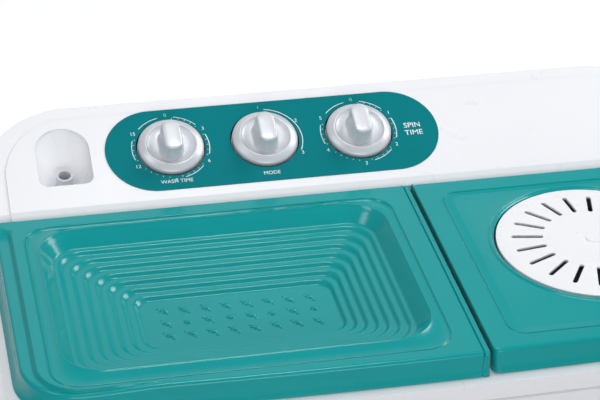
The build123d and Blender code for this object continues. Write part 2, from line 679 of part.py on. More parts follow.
# ------------------------------------------------------------------ wash side
def wash_tub():
    """Drafted tub with a top flange, a sump outlet, an inlet window and four moulded legs."""
    body = drafted_block(WASH_TUB_FLOOR, WASH_FLOOR_Z - SHELL, WASH_OPENING, TUB_TOP_Z, SHELL)
    body = body + round_block(WASH_OPENING, TUB_TOP_Z - SHELL, TUB_TOP_Z, 14)
    body = body - drafted_block(WASH_TUB_FLOOR, WASH_FLOOR_Z, WASH_OPENING, TUB_TOP_Z)
    body = body + tube(VALVE[0], 40, 350, WASH_FLOOR_Z - 1, 9.0) - tube(VALVE[0], 40, 340, 380, 7.0)
    body = body - block(INLET_X - 14, INLET_X + 14, 70, 90, 817, 835)
    body = body - tube(WASH_CENTRE[0], WASH_CENTRE[1], 350, 380, 20)
    for x, y in wash_flange_holes():
        body = body - tube(x, y, 830, 850, 1.8)
    for x, y in leg_places():
        leg = Pos(x, y, (248 + WASH_FLOOR_Z - 1) / 2) * Cone(9, 13, WASH_FLOOR_Z - 1 - 248)
        body = body + leg - tube(x, y, 240, 264, 3.4)
    return body


def leg_places():
    return [(x, y) for x in (-230.0, -90.0) for y in (-124.0, 6.0)]


def pulsator():
    """Dished disc with curved fins and a hub."""
    x, y = WASH_CENTRE
    base = WASH_FLOOR_Z + 4
    disc = revolve(Plane.XZ * make_face([
        Line((0, base), (PULSATOR_R, base)),
        Line((PULSATOR_R, base), (PULSATOR_R, base + 9)),
        ThreePointArc((PULSATOR_R, base + 9), (PULSATOR_R * 0.6, base + 6), (0, base + 12)),
        Line((0, base + 12), (0, base)),
    ]), Axis.Z)
    fin = Box(84, 13, 22)
    fin = fillet(fin.edges().filter_by(Axis.X).group_by(Axis.Z)[-1], 5)
    fin = Pos(62, 0, base + 11) * (Rot(0, 0, 12) * fin)
    fin = fin & (Pos(0, 0, base + 12) * Cylinder(PULSATOR_R - 6, 40))
    for index in range(6):
        disc = disc + Rot(0, 0, 60 * index) * fin
    disc = disc + Pos(0, 0, base + 12) * Cylinder(22, 20)
    return Pos(x, y, 0) * (disc - Pos(0, 0, base + 5) * Cylinder(8.0, 22))


def pulsator_cap():
    x, y = WASH_CENTRE
    top = WASH_FLOOR_Z + 4 + 22
    cap = Pos(x, y, top + 3) * Cylinder(19, 6)
    return fillet(cap.edges().group_by(Axis.Z)[-1], 3)


def pulsator_shaft():
    return tube(WASH_CENTRE[0], WASH_CENTRE[1], BELT_Z - 12, WASH_FLOOR_Z + 20, 8.0)


def bearing_housing():
    x, y = WASH_CENTRE
    low, high = BELT_Z + 14, WASH_FLOOR_Z - SHELL
    body = tube(x, y, low, high, 24) + tube(x, y, high - 6, high, 44) + tube(x, y, high - 1, high + 2, 19)
    return body - tube(x, y, low - 5, high + 5, 8.0 + SHAFT_PLAY)


def grooved_pulley(radius, width, bore):
    """Pulley with a belt groove round its rim."""
    half = width / 2
    groove = half - 3.0
    rim = make_face(Polyline((0, -half), (radius, -half), (radius, -groove), (radius - 6, -groove),
                             (radius - 6, groove), (radius, groove), (radius, half), (0, half), close=True))
    body = revolve(Plane.XZ * rim, Axis.Z)
    return body - Cylinder(bore, width + 4)


def large_pulley():
    wheel = grooved_pulley(LARGE_PULLEY_R, 16, 8.0)
    recess = Cylinder(66, 20) - Cylinder(18, 20)
    web = Cylinder(66, 4) - Cylinder(17, 4)
    for index in range(5):
        web = web - Rot(0, 0, 72 * index) * (Pos(42, 0, 0) * Cylinder(14, 10))
    wheel = (wheel - recess) + web
    return Pos(WASH_CENTRE[0], WASH_CENTRE[1], BELT_Z) * wheel


def small_pulley():
    """Motor pulley moulded in one with the cooling fan under it."""
    wheel = grooved_pulley(SMALL_PULLEY_R, 16, 6.0)
    fan = Pos(0, 0, -18) * Cylinder(14, 22)
    for index in range(8):
        fan = fan + Rot(0, 0, 45 * index) * (Pos(32, 0, -18) * (Rot(28, 0, 0) * Box(42, 2.2, 15)))
    fan = fan - Pos(0, 0, -18) * Cylinder(6.0, 24)
    return Pos(WASH_MOTOR[0], WASH_MOTOR[1], BELT_Z) * (wheel + fan)


def belt_outline(reach):
    """Band round both pulleys at a distance from their rims."""
    big, small = LARGE_PULLEY_R + reach, SMALL_PULLEY_R + reach
    span = WASH_MOTOR[0] - WASH_CENTRE[0]
    lean = math.acos((big - small) / span)
    y = WASH_CENTRE[1]
    far = (WASH_CENTRE[0] + big * math.cos(lean), big * math.sin(lean))
    near = (WASH_MOTOR[0] + small * math.cos(lean), small * math.sin(lean))
    return make_face([
        ThreePointArc((far[0], y + far[1]), (WASH_CENTRE[0] - big, y), (far[0], y - far[1])),
        Line((far[0], y - far[1]), (near[0], y - near[1])),
        ThreePointArc((near[0], y - near[1]), (WASH_MOTOR[0] + small, y), (near[0], y + near[1])),
        Line((near[0], y + near[1]), (far[0], y + far[1])),
    ])


def v_belt():
    band = extrude(Pos(0, 0, BELT_Z - 4.4) * belt_outline(-0.5), 8.8)
    return band - extrude(Pos(0, 0, BELT_Z - 6) * belt_outline(-5.4), 12)


def drive_plate():
    """Steel plate hung under the wash tub that carries the bearing housing and the motor."""
    plate = round_block((-245.0, 98.0, -138.0, 20.0, 16.0), 245, 248)
    plate = plate - tube(WASH_CENTRE[0], WASH_CENTRE[1], 240, 255, 24.2)
    plate = plate - tube(WASH_MOTOR[0], WASH_MOTOR[1], 240, 255, 26)
    for x, y in leg_places():
        plate = plate - tube(x, y, 240, 255, 3.6)
    for x, y in motor_mount_places():
        plate = plate - tube(x, y, 240, 255, 5.0)
    return plate


def motor_mount_places():
    return [(WASH_MOTOR[0] + 64 * sx, WASH_MOTOR[1] + 64 * sy) for sx in (-1, 1) for sy in (-1, 1)]


def motor_grommets():
    rings = []
    for x, y in motor_mount_places():
        ring = tube(x, y, 248, 256, 9) + tube(x, y, 240, 245, 9) + tube(x, y, 245, 248, 5.0)
        rings.append(ring - tube(x, y, 230, 260, 2.6))
    return group(rings)


def internal_screws():
    """Screws of the tub flanges, the control housings, the wash motor and the drive plate."""
    screws = []
    for x, y in wash_flange_holes() + spin_flange_holes():
        screws.append(tube(x, y, TUB_TOP_Z - 3, TUB_TOP_Z + 1.8, 1.8) + tube(x, y, TUB_TOP_Z - 5, TUB_TOP_Z - 3, 3.5))
    for index, length in CONTROL_LENGTHS:
        for dx in (-length / 2 - 7, length / 2 + 7):
            screw = Pos(dx, 0, -8) * Cylinder(1.8, 5) + Pos(dx, 0, -11.5) * Cylinder(3.5, 2)
            screws.append(console * (Pos(KNOB_X[index], KNOB_V, 0) * screw))
    for x, y in motor_mount_places():
        screws.append(tube(x, y, 236, 264, 2.5) + tube(x, y, 236, 240, 5.5))
    for x, y in leg_places():
        screws.append(tube(x, y, 241, 262, 3.4) + tube(x, y, 239, 245, 7))
    return group(screws)


def motor_housing(x, y, low, high, radius):
    """Ribbed motor shell with a round chamber for its rotor."""
    body = tube(x, y, low, high, radius - 3)
    body = chamfer(body.edges().group_by(Axis.Z)[-1] + body.edges().group_by(Axis.Z)[0], 6)
    for index in range(18):
        angle = 20 * index
        rib = Pos(x, y, (low + high) / 2) * (Rot(0, 0, angle) * (Pos(radius - 3, 0, 0) * Box(6, 4, high - low - 24)))
        body = body + rib
    body = body - tube(x, y, low + 12, high - 12, 34)
    return body - tube(x, y, low - 5, high + 5, 6.0 + SHAFT_PLAY)


def wash_motor_body():
    x, y = WASH_MOTOR
    body = motor_housing(x, y, 262, 352, MOTOR_R)
    for mx, my in motor_mount_places():
        turn = math.degrees(math.atan2(my - y, mx - x))
        arm = Pos(x, y, 259) * (Rot(0, 0, turn) * (Pos(66, 0, 0) * Box(68, 20, 6)))
        body = body + arm - tube(mx, my, 250, 270, 2.55)
    return body


def wash_motor_rotor():
    x, y = WASH_MOTOR
    return tube(x, y, 277, 337, 33.4) + tube(x, y, BELT_Z - 28, 345, 6.0)


# ------------------------------------------------------------------ spin side
def spin_outer_tub():
    x, y = SPIN_AXIS
    body = tube(x, y, SPIN_TUB_FLOOR_Z - SHELL, TUB_TOP_Z, SPIN_TUB_R + SHELL)
    body = body + tube(x, y, TUB_TOP_Z - SHELL, TUB_TOP_Z, SPIN_TUB_R + 12)
    body = body - tube(x, y, SPIN_TUB_FLOOR_Z, TUB_TOP_Z - SHELL, SPIN_TUB_R)
    body = body - tube(x, y, TUB_TOP_Z - 10, TUB_TOP_Z + 5, SPIN_OPENING_R)
    body = body - tube(x, y, 400, 480, 22)
    body = body + tube(150, 60, 420, SPIN_TUB_FLOOR_Z - 1, 8) - tube(150, 60, 410, 445, 6.5)
    for hx, hy in spin_flange_holes():
        body = body - tube(hx, hy, 830, 850, 1.8)
    return body


def spin_seal():
    """Bellows round the spin shaft where it enters the outer tub."""
    x, y = SPIN_AXIS
    z = SPIN_TUB_FLOOR_Z
    body = tube(x, y, z - 22, z + 8, 17) + tube(x, y, z - SHELL, z, 22) + tube(x, y, z, z + 3, 30)
    body = body + tube(x, y, z - SHELL - 3, z - SHELL, 30)
    for index in range(3):
        body = body + tube(x, y, z - 21 + 5 * index, z - 18 + 5 * index, 20)
    return body - tube(x, y, z - 30, z + 20, 9.0 + SHAFT_PLAY)


def spin_basket():
    """Perforated basket with a balance rim and a hub below its floor."""
    x, y = SPIN_AXIS
    body = tube(x, y, BASKET_FLOOR_Z, BASKET_TOP_Z, BASKET_R)
    body = body - tube(x, y, BASKET_FLOOR_Z + 3, BASKET_TOP_Z + 5, BASKET_R - 2.5)
    body = body + tube(x, y, BASKET_TOP_Z - 22, BASKET_TOP_Z, BASKET_R, BASKET_R - 15)
    body = body + tube(x, y, BASKET_FLOOR_Z - 16, BASKET_FLOOR_Z + 1, 28)
    cuts = []
    for column in range(9):
        for row in range(5):
            z = BASKET_FLOOR_Z + 40 + 58 * row
            cuts.append(Pos(x, y, z) * (Rot(0, 0, 20 * column) * Box(2 * BASKET_R + 20, 5, 34)))
    body = body - cuts
    return body - tube(x, y, BASKET_FLOOR_Z - 20, BASKET_FLOOR_Z, 9.0)


def press_disc():
    """Loose perforated mat that lies on the basket floor until it is laid on the washing."""
    x, y = SPIN_AXIS
    z = BASKET_FLOOR_Z + 3
    disc = tube(x, y, z, z + 3, 112)
    holes = [tube(x + 70 * math.cos(a), y + 70 * math.sin(a), z - 2, z + 6, 9)
             for a in (math.radians(45 * k) for k in range(8))]
    disc = disc - joined(holes)
    return disc + tube(x, y, z + 2, z + 14, 16, 12)


def spin_shaft():
    return tube(SPIN_AXIS[0], SPIN_AXIS[1], 222, BASKET_FLOOR_Z, 9.0)


def brake_drum():
    x, y = SPIN_AXIS
    drum = tube(x, y, 205, 236, BRAKE_DRUM_R) - tube(x, y, 212, 240, BRAKE_DRUM_R - 6)
    drum = drum + tube(x, y, 205, 240, 18)
    return drum - tube(x, y, 200, 222, 6.0) - tube(x, y, 222, 245, 9.0)


def spin_motor_body():
    return motor_housing(SPIN_AXIS[0], SPIN_AXIS[1], SPIN_MOTOR_Z[0], SPIN_MOTOR_Z[1], 65)


def spin_motor_rotor():
    x, y = SPIN_AXIS
    low, high = SPIN_MOTOR_Z
    return tube(x, y, low + 15, high - 15, 33.4) + tube(x, y, low + 6, 222, 6.0)


def spin_motor_base():
    """Plate that clamps the spin motor and sits on the springs."""
    x, y = SPIN_AXIS
    plate = tube(x, y, SPRING_Z[1], SPIN_MOTOR_Z[0], 78)
    for sx, sy in spring_places():
        plate = plate + tube(sx, sy, SPRING_Z[1] - 8, SPRING_Z[1], 7)
    return plate


def suspension_springs():
    """Coil springs under the spin motor, each with a flat ring at both ends."""
    coils = []
    wire = 1.8
    low, high = SPRING_Z
    for x, y in spring_places():
        path = Pos(x, y, low + wire) * Helix(pitch=8.2, height=high - low - 2 * wire, radius=11)
        section = Plane(origin=path @ 0, z_dir=path % 0) * Circle(wire)
        coils.append(sweep(section, path=path, is_frenet=True))
    return group(coils)


def brake_bracket():
    px, py = BRAKE_PIVOT
    low = SPIN_MOTOR_Z[1]
    plate = block(236, 306, py - 14, py + 50, low, low + 3)
    ear = block(300, 303, py + 28, py + 46, low + 1, low + 40)
    ear = ear - bar_x(295, 310, py + 37, 220, 2.5)
    post = tube(px, py, low + 2, 213, 6) + tube(px, py, 212, 232, 3.0)
    return plate + ear + post


def brake_lever():
    px, py = BRAKE_PIVOT
    arm = block(px - 4, px + 4, -80, py + 42, 214, 226) + tube(px, py, 214, 226, 8)
    wire = bar_x(px + 3, 302, py + 37, 220, 1.0)
    return arm + wire - tube(px, py, 210, 230, 3.0 + SHAFT_PLAY)


def brake_shoe():
    px = BRAKE_PIVOT[0]
    return block(px - 12, px - 4, -66, -22, 212, 228)


def brake_cable():
    """Sheathed cable from the spin lid's hinge to the brake lever."""
    points = [(308, 57, 220), (346, 57, 222), (356, 122, 300), (356, 128, 740), (346, 108, 836)]
    return pipe(points, [18.0, 40.0, 120.0], 2.5)


# ------------------------------------------------------------------ electrical parts
def motor_capacitor():
    body = tube(-150, 172, BASE_Z[0] + SHELL, 108, 22)
    body = fillet(body.edges().group_by(Axis.Z)[-1], 3)
    for dx in (-8, 8):
        body = body + block(-150 + dx - 3, -150 + dx + 3, 171.6, 172.4, 106, 118)
    return body


def wiring_harness():
    """Wrapped bundle from the timers down the rear left corner and along the base to both motors."""
    trunk = [(-213, 176, 868), (-268, 190, 828), (-268, 190, 210), (-215, 120, 90), (-60, 104, 50),
             (90, 100, 50), (165, 70, 60), (180, 14, 118)]
    branch = [(-40, 118, 57), (-10, 96, 150), (18, 44, 280), (24, 8, 306)]
    return group([pipe(trunk, [50, 90, 90, 100, 90, 40], 5.0), pipe(branch, [70, 50], 3.5)])


def cord_gland():
    x, z = GLAND
    body = bar_y(216, 226, x, z, 8.9) + bar_y(226, 227.8, x, z, 13) + bar_y(219, 223, x, z, 11)
    body = body - bar_y(210, 230, x, z, 4.5)
    return body


# ------------------------------------------------------------------ write every piece
PIECES = {
    "base_tray": base_tray,
    "rubber_feet": rubber_feet,
    "cabinet_shell": cabinet_shell,
    "rear_service_panel": rear_service_panel,
    "rear_panel_screws": rear_panel_screws,
    "top_cover": top_cover,
    "control_panel": control_panel,
    "wash_lid": wash_lid,
    "wash_lid_pins": lambda: hinge_pins(LUG_X_WASH),
    "spin_lid": spin_lid,
    "spin_lid_pins": lambda: hinge_pins(LUG_X_SPIN),
    "spin_vent": spin_vent,
    "wash_timer_knob": lambda: knob_at(0),
    "selector_knob": lambda: knob_at(1),
    "spin_timer_knob": lambda: knob_at(2),
    "wash_timer_shaft": lambda: shaft_at(0, -44, False),
    "selector_shaft": lambda: shaft_at(1, -48, True),
    "spin_timer_shaft": lambda: shaft_at(2, -44, False),
    "wash_timer_body": lambda: control_body(0, 54, 46, 40),
    "selector_body": lambda: control_body(1, 44, 40, 30),
    "spin_timer_body": lambda: control_body(2, 54, 46, 40),
    "inlet_spigot": inlet_spigot,
    "inlet_duct": inlet_duct,
    "filter_cover": filter_cover,
    "lint_filter": lint_filter,
    "wash_tub": wash_tub,
    "pulsator": pulsator,
    "pulsator_cap": pulsator_cap,
    "pulsator_shaft": pulsator_shaft,
    "bearing_housing": bearing_housing,
    "large_pulley": large_pulley,
    "v_belt": v_belt,
    "small_pulley": small_pulley,
    "wash_motor_body": wash_motor_body,
    "wash_motor_rotor": wash_motor_rotor,
    "drive_plate": drive_plate,
    "motor_grommets": motor_grommets,
    "spin_outer_tub": spin_outer_tub,
    "spin_seal": spin_seal,
    "spin_basket": spin_basket,
    "press_disc": press_disc,
    "spin_shaft": spin_shaft,
    "brake_drum": brake_drum,
    "spin_motor_body": spin_motor_body,
    "spin_motor_rotor": spin_motor_rotor,
    "spin_motor_base": spin_motor_base,
    "suspension_springs": suspension_springs,
    "brake_bracket": brake_bracket,
    "brake_lever": brake_lever,
    "brake_shoe": brake_shoe,
    "brake_cable": brake_cable,
    "motor_capacitor": motor_capacitor,
    "drain_valve_body": drain_valve_body,
    "drain_valve_plunger": valve_plunger,
    "drain_strap": drain_strap,
    "drain_hoses": drain_hoses,
    "drain_outlet_elbow": drain_outlet_elbow,
    "wiring_harness": wiring_harness,
    "cord_gland": cord_gland,
    "internal_screws": internal_screws,
}
for piece, make in PIECES.items():
    save(piece, make())
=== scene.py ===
"""Looks of a twin tub washer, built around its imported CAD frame."""
import json
import math

import bpy
import numpy as np
from mathutils import Matrix, Vector


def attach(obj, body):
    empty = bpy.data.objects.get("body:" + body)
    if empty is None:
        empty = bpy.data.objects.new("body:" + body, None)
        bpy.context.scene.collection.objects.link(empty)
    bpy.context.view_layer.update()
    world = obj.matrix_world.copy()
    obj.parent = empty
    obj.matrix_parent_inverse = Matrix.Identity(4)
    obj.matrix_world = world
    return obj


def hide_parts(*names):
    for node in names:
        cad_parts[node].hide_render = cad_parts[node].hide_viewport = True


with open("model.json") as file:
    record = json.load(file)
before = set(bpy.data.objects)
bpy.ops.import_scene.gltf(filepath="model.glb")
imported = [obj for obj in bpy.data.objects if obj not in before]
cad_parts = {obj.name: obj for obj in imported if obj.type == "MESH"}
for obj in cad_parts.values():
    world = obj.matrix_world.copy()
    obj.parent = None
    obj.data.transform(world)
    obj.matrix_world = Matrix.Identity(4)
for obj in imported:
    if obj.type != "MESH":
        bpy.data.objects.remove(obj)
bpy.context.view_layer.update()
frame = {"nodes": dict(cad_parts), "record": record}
NODES = frame["nodes"]
JOINTS = {joint["name"]: joint for joint in frame["record"]["behaviour"]["joints"]}
MM = 0.001


def joint_at(name, axis):
    """Place of a joint along one axis of the frame, in millimetres."""
    return JOINTS[name]["pos_m"][axis] / MM


# Sizes are in millimetres. On the console, v runs up the slope and h out of its face.
HALF_W = 390.0
FRONT_BOW = 9.5                 # how far the front edge curves back by half the width
LID_TOP = 872.0                 # top of the closed lids
LID_WALL = 2.5
FIELD_STEP = 1.5                # depth of the recessed field in each lid
BEAD_FOOT = 2.8                 # a lid's border ends this far outside its field
APRON_EDGE = 4.0                # rounding along the top of an apron
APRON_DEPTH = 25.5              # from the lid's top to the foot of its apron
HINGE_Y = joint_at("wash_lid_hinge", 1)
HINGE_Z = joint_at("wash_lid_hinge", 2)
REAR_REACH = 10.6               # radius of a lid's rear edge round the hinge
REAR_DEPTH = 10.4               # from the lid's top to the lip of its rear edge
SIDE_RISE = (64.0, 24.0)        # where a side apron begins to rise to the hinge, and over what length
VENT = (220.0, -44.0)           # centre of the spin vent

TILT = math.radians(22.25)      # slope of the console
CONSOLE_ORIGIN = Vector((0.0, 98.0, 872.0))
KNOB_X = [joint_at(name, 0) for name in ("wash_timer_turn", "selector_turn", "spin_timer_turn")]
KNOB_V = 73.2


# ------------------------------------------------------------------ shader helpers
def srgb(r, g, b):
    """Linear colour from 0-255 screen values."""
    out = []
    for v in (r, g, b):
        v = v / 255.0
        out.append(v / 12.92 if v <= 0.04045 else ((v + 0.055) / 1.055) ** 2.4)
    return (*out, 1.0)


def shade(colour, factor):
    """A colour made darker or lighter."""
    return (*[min(1.0, c * factor) for c in colour[:3]], 1.0)


def new_material(name):
    """Empty material with the node tools that the rest of this section works on."""
    mat = bpy.data.materials.new(name)
    mat.use_nodes = True
    nodes, links = mat.node_tree.nodes, mat.node_tree.links
    bsdf = nodes["Principled BSDF"]
    coords = nodes.new("ShaderNodeTexCoord")
    return mat, nodes, links, bsdf, coords.outputs["Object"]


def noise(nodes, links, coords, scale, detail, stretch=None):
    """Cloudy pattern; stretch scales the axes one by one."""
    tex = nodes.new("ShaderNodeTexNoise")
    tex.inputs["Scale"].default_value = scale
    tex.inputs["Detail"].default_value = detail
    source = coords
    if stretch:
        mapping = nodes.new("ShaderNodeMapping")
        mapping.inputs["Scale"].default_value = stretch
        links.new(coords, mapping.inputs["Vector"])
        source = mapping.outputs["Vector"]
    links.new(source, tex.inputs["Vector"])
    return tex.outputs["Fac"]


def ramp(nodes, links, source, low, high):
    """Blend of two colours over the middle of a pattern's range."""
    node = nodes.new("ShaderNodeValToRGB")
    node.color_ramp.elements[0].position = 0.3
    node.color_ramp.elements[1].position = 0.7
    node.color_ramp.elements[0].color = low
    node.color_ramp.elements[1].color = high
    links.new(source, node.inputs["Fac"])
    return node.outputs["Color"]


def remap(nodes, links, source, start, end, low=0.0, high=1.0, kind="SMOOTHSTEP"):
    """Value that goes from low to high while the source goes from start to end."""
    node = nodes.new("ShaderNodeMapRange")
    node.interpolation_type = kind
    node.inputs["From Min"].default_value = start
    node.inputs["From Max"].default_value = end
    node.inputs["To Min"].default_value = low
    node.inputs["To Max"].default_value = high
    links.new(source, node.inputs["Value"])
    return node.outputs["Result"]


def calculate(nodes, links, operation, *values):
    """One sum on sockets or plain numbers."""
    node = nodes.new("ShaderNodeMath")
    node.operation = operation
    for socket, value in zip(node.inputs, values):
        if isinstance(value, float):
            socket.default_value = value
        else:
            links.new(value, socket)
    return node.outputs[0]


def separate(nodes, links, coords):
    """The X, Y and Z of a coordinate."""
    axes = nodes.new("ShaderNodeSeparateXYZ")
    links.new(coords, axes.inputs["Vector"])
    return axes.outputs


def bump(nodes, links, height, strength, distance, normal=None):
    """Relief on top of another normal, if there is one."""
    node = nodes.new("ShaderNodeBump")
    node.inputs["Strength"].default_value = strength
    node.inputs["Distance"].default_value = distance
    links.new(height, node.inputs["Height"])
    if normal is not None:
        links.new(normal, node.inputs["Normal"])
    return node.outputs["Normal"]


def groove(nodes, links, coords, level, width, normal):
    """Horizontal moulded line at one height."""
    away = calculate(nodes, links, "SUBTRACT", separate(nodes, links, coords)["Z"], level * MM)
    near = remap(nodes, links, calculate(nodes, links, "ABSOLUTE", away), 0.0, width * MM)
    return bump(nodes, links, near, 1.0, 1.2 * MM, normal)


# ------------------------------------------------------------------ materials
def moulded(name, colour, rough, tint, grain, relief, metal=0.0, wave=0.0, stretch=None, line=None, ior=1.5):
    """Moulded or coated surface: cloudy tint, uneven gloss, fine grain and long soft waves.
    grain is the grain's fineness and relief its strength; line is a moulded line's height and width."""
    mat, nodes, links, bsdf, coords = new_material(name)
    cloud = noise(nodes, links, coords, 9.0, 4.0)
    links.new(ramp(nodes, links, cloud, shade(colour, 1 - tint), shade(colour, 1 + tint)),
              bsdf.inputs["Base Color"])
    uneven = noise(nodes, links, coords, 34.0, 5.0, stretch)
    gloss = remap(nodes, links, uneven, 0.3, 0.7, rough * 0.88, rough * 1.15, "LINEAR")
    links.new(gloss, bsdf.inputs["Roughness"])
    bsdf.inputs["Metallic"].default_value = metal
    bsdf.inputs["IOR"].default_value = ior
    normal = bump(nodes, links, noise(nodes, links, coords, grain, 2.0, stretch), relief, 0.4 * MM)
    if wave:
        normal = bump(nodes, links, noise(nodes, links, coords, 14.0, 1.0), wave, 2.0 * MM, normal)
    if line:
        normal = groove(nodes, links, coords, *line, normal)
    links.new(normal, bsdf.inputs["Normal"])
    return mat


MATERIALS = {}


def add_material(name, *numbers, **extras):
    """Material made once under its own name."""
    MATERIALS[name] = moulded(name, *numbers, **extras)


def make_materials():
    """Every material: name, colour, roughness, tint, fineness of the grain and its relief."""
    add_material("white_plastic", srgb(235, 236, 240), 0.30, 0.008, 700, 0.03, line=(826, 1.6))
    add_material("cabinet_plastic", srgb(236, 237, 241), 0.32, 0.010, 700, 0.04)
    add_material("base_plastic", srgb(70, 72, 75), 0.55, 0.08, 500, 0.15)
    add_material("lid_teal", srgb(2, 152, 154), 0.16, 0.03, 1100, 0.012, wave=0.10, ior=1.38)
    add_material("panel_teal", srgb(0, 121, 128), 0.42, 0.02, 1300, 0.03, ior=1.12)
    add_material("vent_white", srgb(241, 242, 245), 0.28, 0.008, 700, 0.03)
    add_material("knob_silver", srgb(208, 211, 217), 0.34, 0.02, 1600, 0.05, metal=0.18)
    add_material("tub_plastic", srgb(222, 226, 229), 0.42, 0.03, 500, 0.06)
    add_material("basket_plastic", srgb(190, 210, 216), 0.35, 0.03, 500, 0.06)
    add_material("inlet_grey", srgb(205, 207, 211), 0.42, 0.04, 600, 0.08)
    add_material("control_black", srgb(38, 38, 41), 0.5, 0.1, 600, 0.12)
    add_material("rubber_black", srgb(32, 32, 33), 0.7, 0.12, 450, 0.25)
    add_material("brake_lining", srgb(104, 68, 50), 0.85, 0.25, 350, 0.5)
    add_material("shaft_steel", srgb(190, 192, 195), 0.28, 0.05, 300, 0.1, metal=1.0, stretch=(1, 1, 18))
    add_material("sheet_steel", srgb(198, 200, 202), 0.42, 0.09, 120, 0.06, metal=0.85)
    add_material("screw_steel", srgb(205, 206, 208), 0.26, 0.06, 500, 0.08, metal=1.0)
    add_material("spring_steel", srgb(125, 126, 130), 0.38, 0.12, 500, 0.12, metal=1.0)
    add_material("motor_metal", srgb(168, 171, 174), 0.52, 0.08, 300, 0.25, metal=0.8)
    add_material("pulley_metal", srgb(180, 182, 185), 0.36, 0.06, 240, 0.12, metal=0.9, stretch=(1, 1, 10))
    add_material("cable_black", srgb(28, 28, 30), 0.55, 0.1, 500, 0.1)
    add_material("capacitor_shell", srgb(214, 216, 219), 0.45, 0.04, 500, 0.08)
    add_material("strap_plastic", srgb(222, 221, 214), 0.5, 0.04, 500, 0.08)
    # painted shade: dark lining for the knob wells, standing in for the shade in the deep gap round each
    # knob
    add_material("knob_gap_shade", srgb(20, 26, 34), 0.5, 0.1, 500, 0.1)
    add_material("mark_white", srgb(226, 238, 240), 0.5, 0.03, 900, 0.05)
    add_material("mark_green", srgb(120, 226, 120), 0.5, 0.05, 900, 0.05)
    add_material("mark_red", srgb(205, 92, 88), 0.5, 0.05, 900, 0.05)


# ------------------------------------------------------------------ mesh helpers
def make_object(name, verts, faces, material, body, slot=None, smooth=True):
    """Mesh object from points in millimetres, riding on a CAD body."""
    mesh = bpy.data.meshes.new(name)
    mesh.from_pydata([tuple(c * MM for c in v) for v in verts], [], faces)
    mesh.update()
    if smooth:
        mesh.polygons.foreach_set("use_smooth", [True] * len(mesh.polygons))
    obj = bpy.data.objects.new(name, mesh)
    bpy.context.scene.collection.objects.link(obj)
    obj.data.materials.append(MATERIALS[material])
    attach(obj, body)
    return obj


def join(pieces):
    """One list of vertices and one of faces from several pairs of them."""
    verts, faces = [], []
    for piece_verts, piece_faces in pieces:
        first = len(verts)
        verts += piece_verts
        faces += [tuple(i + first for i in face) for face in piece_faces]
    return verts, faces


def loft(rings, close_last=False, close_first=False):
    """Vertices and quads through rings that have the same number of points."""
    count = len(rings[0])
    verts = [tuple(p) for ring in rings for p in ring]
    faces = []
    for j in range(len(rings) - 1):
        a, b = j * count, (j + 1) * count
        for i in range(count):
            k = (i + 1) % count
            faces.append((a + i, a + k, b + k, b + i))
    if close_last:
        last = (len(rings) - 1) * count
        faces.append(tuple(last + i for i in range(count)))
    if close_first:
        faces.append(tuple(range(count - 1, -1, -1)))
    return verts, faces


def turn_about(profile, count, centre=(0.0, 0.0)):
    """Round rings from (radius, height) pairs."""
    rings = []
    for radius, height in profile:
        angles = [2 * math.pi * i / count for i in range(count)]
        rings.append([(centre[0] + radius * math.cos(a), centre[1] + radius * math.sin(a), height)
                      for a in angles])
    return rings


def outline(rect, radii, counts, inset=(0.0, 0.0, 0.0, 0.0), bowed=False):
    """Plan ring, anticlockwise from the front's left end, with outward normals.
    radii are the corners front right, rear right, rear left, front left; insets are front, right,
    rear, left; counts are the points on a long side, on a short side and in a corner."""
    front_in, right_in, rear_in, left_in = inset
    x0, x1, y0, y1 = rect[0] + left_in, rect[1] - right_in, rect[2] + front_in, rect[3] - rear_in
    pairs = ((front_in, right_in), (rear_in, right_in), (rear_in, left_in), (front_in, left_in))
    fr, rr, rl, fl = [max(0.3, r - (a + b) / 2) for r, (a, b) in zip(radii, pairs)]
    n_long, n_short, n_turn = counts

    def front(x):
        return y0 + (FRONT_BOW * (x / HALF_W) ** 2 if bowed else 0.0)

    points, normals = [], []

    def side(ax, ay, bx, by, n, nx, ny):
        for q in np.linspace(0, 1, n, endpoint=False)[1:]:
            x, y = ax + (bx - ax) * q, ay + (by - ay) * q
            if bowed and ny < 0:
                y = front(x)
            points.append((x, y))
            normals.append((nx, ny))

    def turn(cx, cy, r, start):
        for a in np.linspace(start, start + 90, n_turn):
            c, s = math.cos(math.radians(a)), math.sin(math.radians(a))
            points.append((cx + r * c, cy + r * s))
            normals.append((c, s))

    side(x0 + fl, front(x0 + fl), x1 - fr, front(x1 - fr), n_long, 0, -1)
    turn(x1 - fr, front(x1 - fr) + fr, fr, -90)
    side(x1, front(x1 - fr) + fr, x1, y1 - rr, n_short, 1, 0)
    turn(x1 - rr, y1 - rr, rr, 0)
    side(x1 - rr, y1, x0 + rl, y1, n_long, 0, 1)
    turn(x0 + rl, y1 - rl, rl, 90)
    side(x0, y1 - rl, x0, front(x0 + fl) + fl, n_short, -1, 0)
    turn(x0 + fl, front(x0 + fl) + fl, fl, 180)
    return np.array(points), np.array(normals)


def flat_ring(plan, z):
    """Plan ring at one height."""
    return np.column_stack([plan, np.full(len(plan), z)])


def smooth_share(v):
    """Eases a share in at 0 and out at 1."""
    v = np.clip(v, 0.0, 1.0)
    return v * v * (3 - 2 * v)


# ------------------------------------------------------------------ what both lids share
LID_COUNTS = (34, 30, 15)


def rect_ring(rect, z, grow=0.0):
    """Rounded rectangle at one height, from (x0, x1, y0, y1, corner radius)."""
    x0, x1, y0, y1, r = rect
    plan, _ = outline((x0 - grow, x1 + grow, y0 - grow, y1 + grow), (max(r + grow, 0.5),) * 4, LID_COUNTS)
    return flat_ring(plan, z)


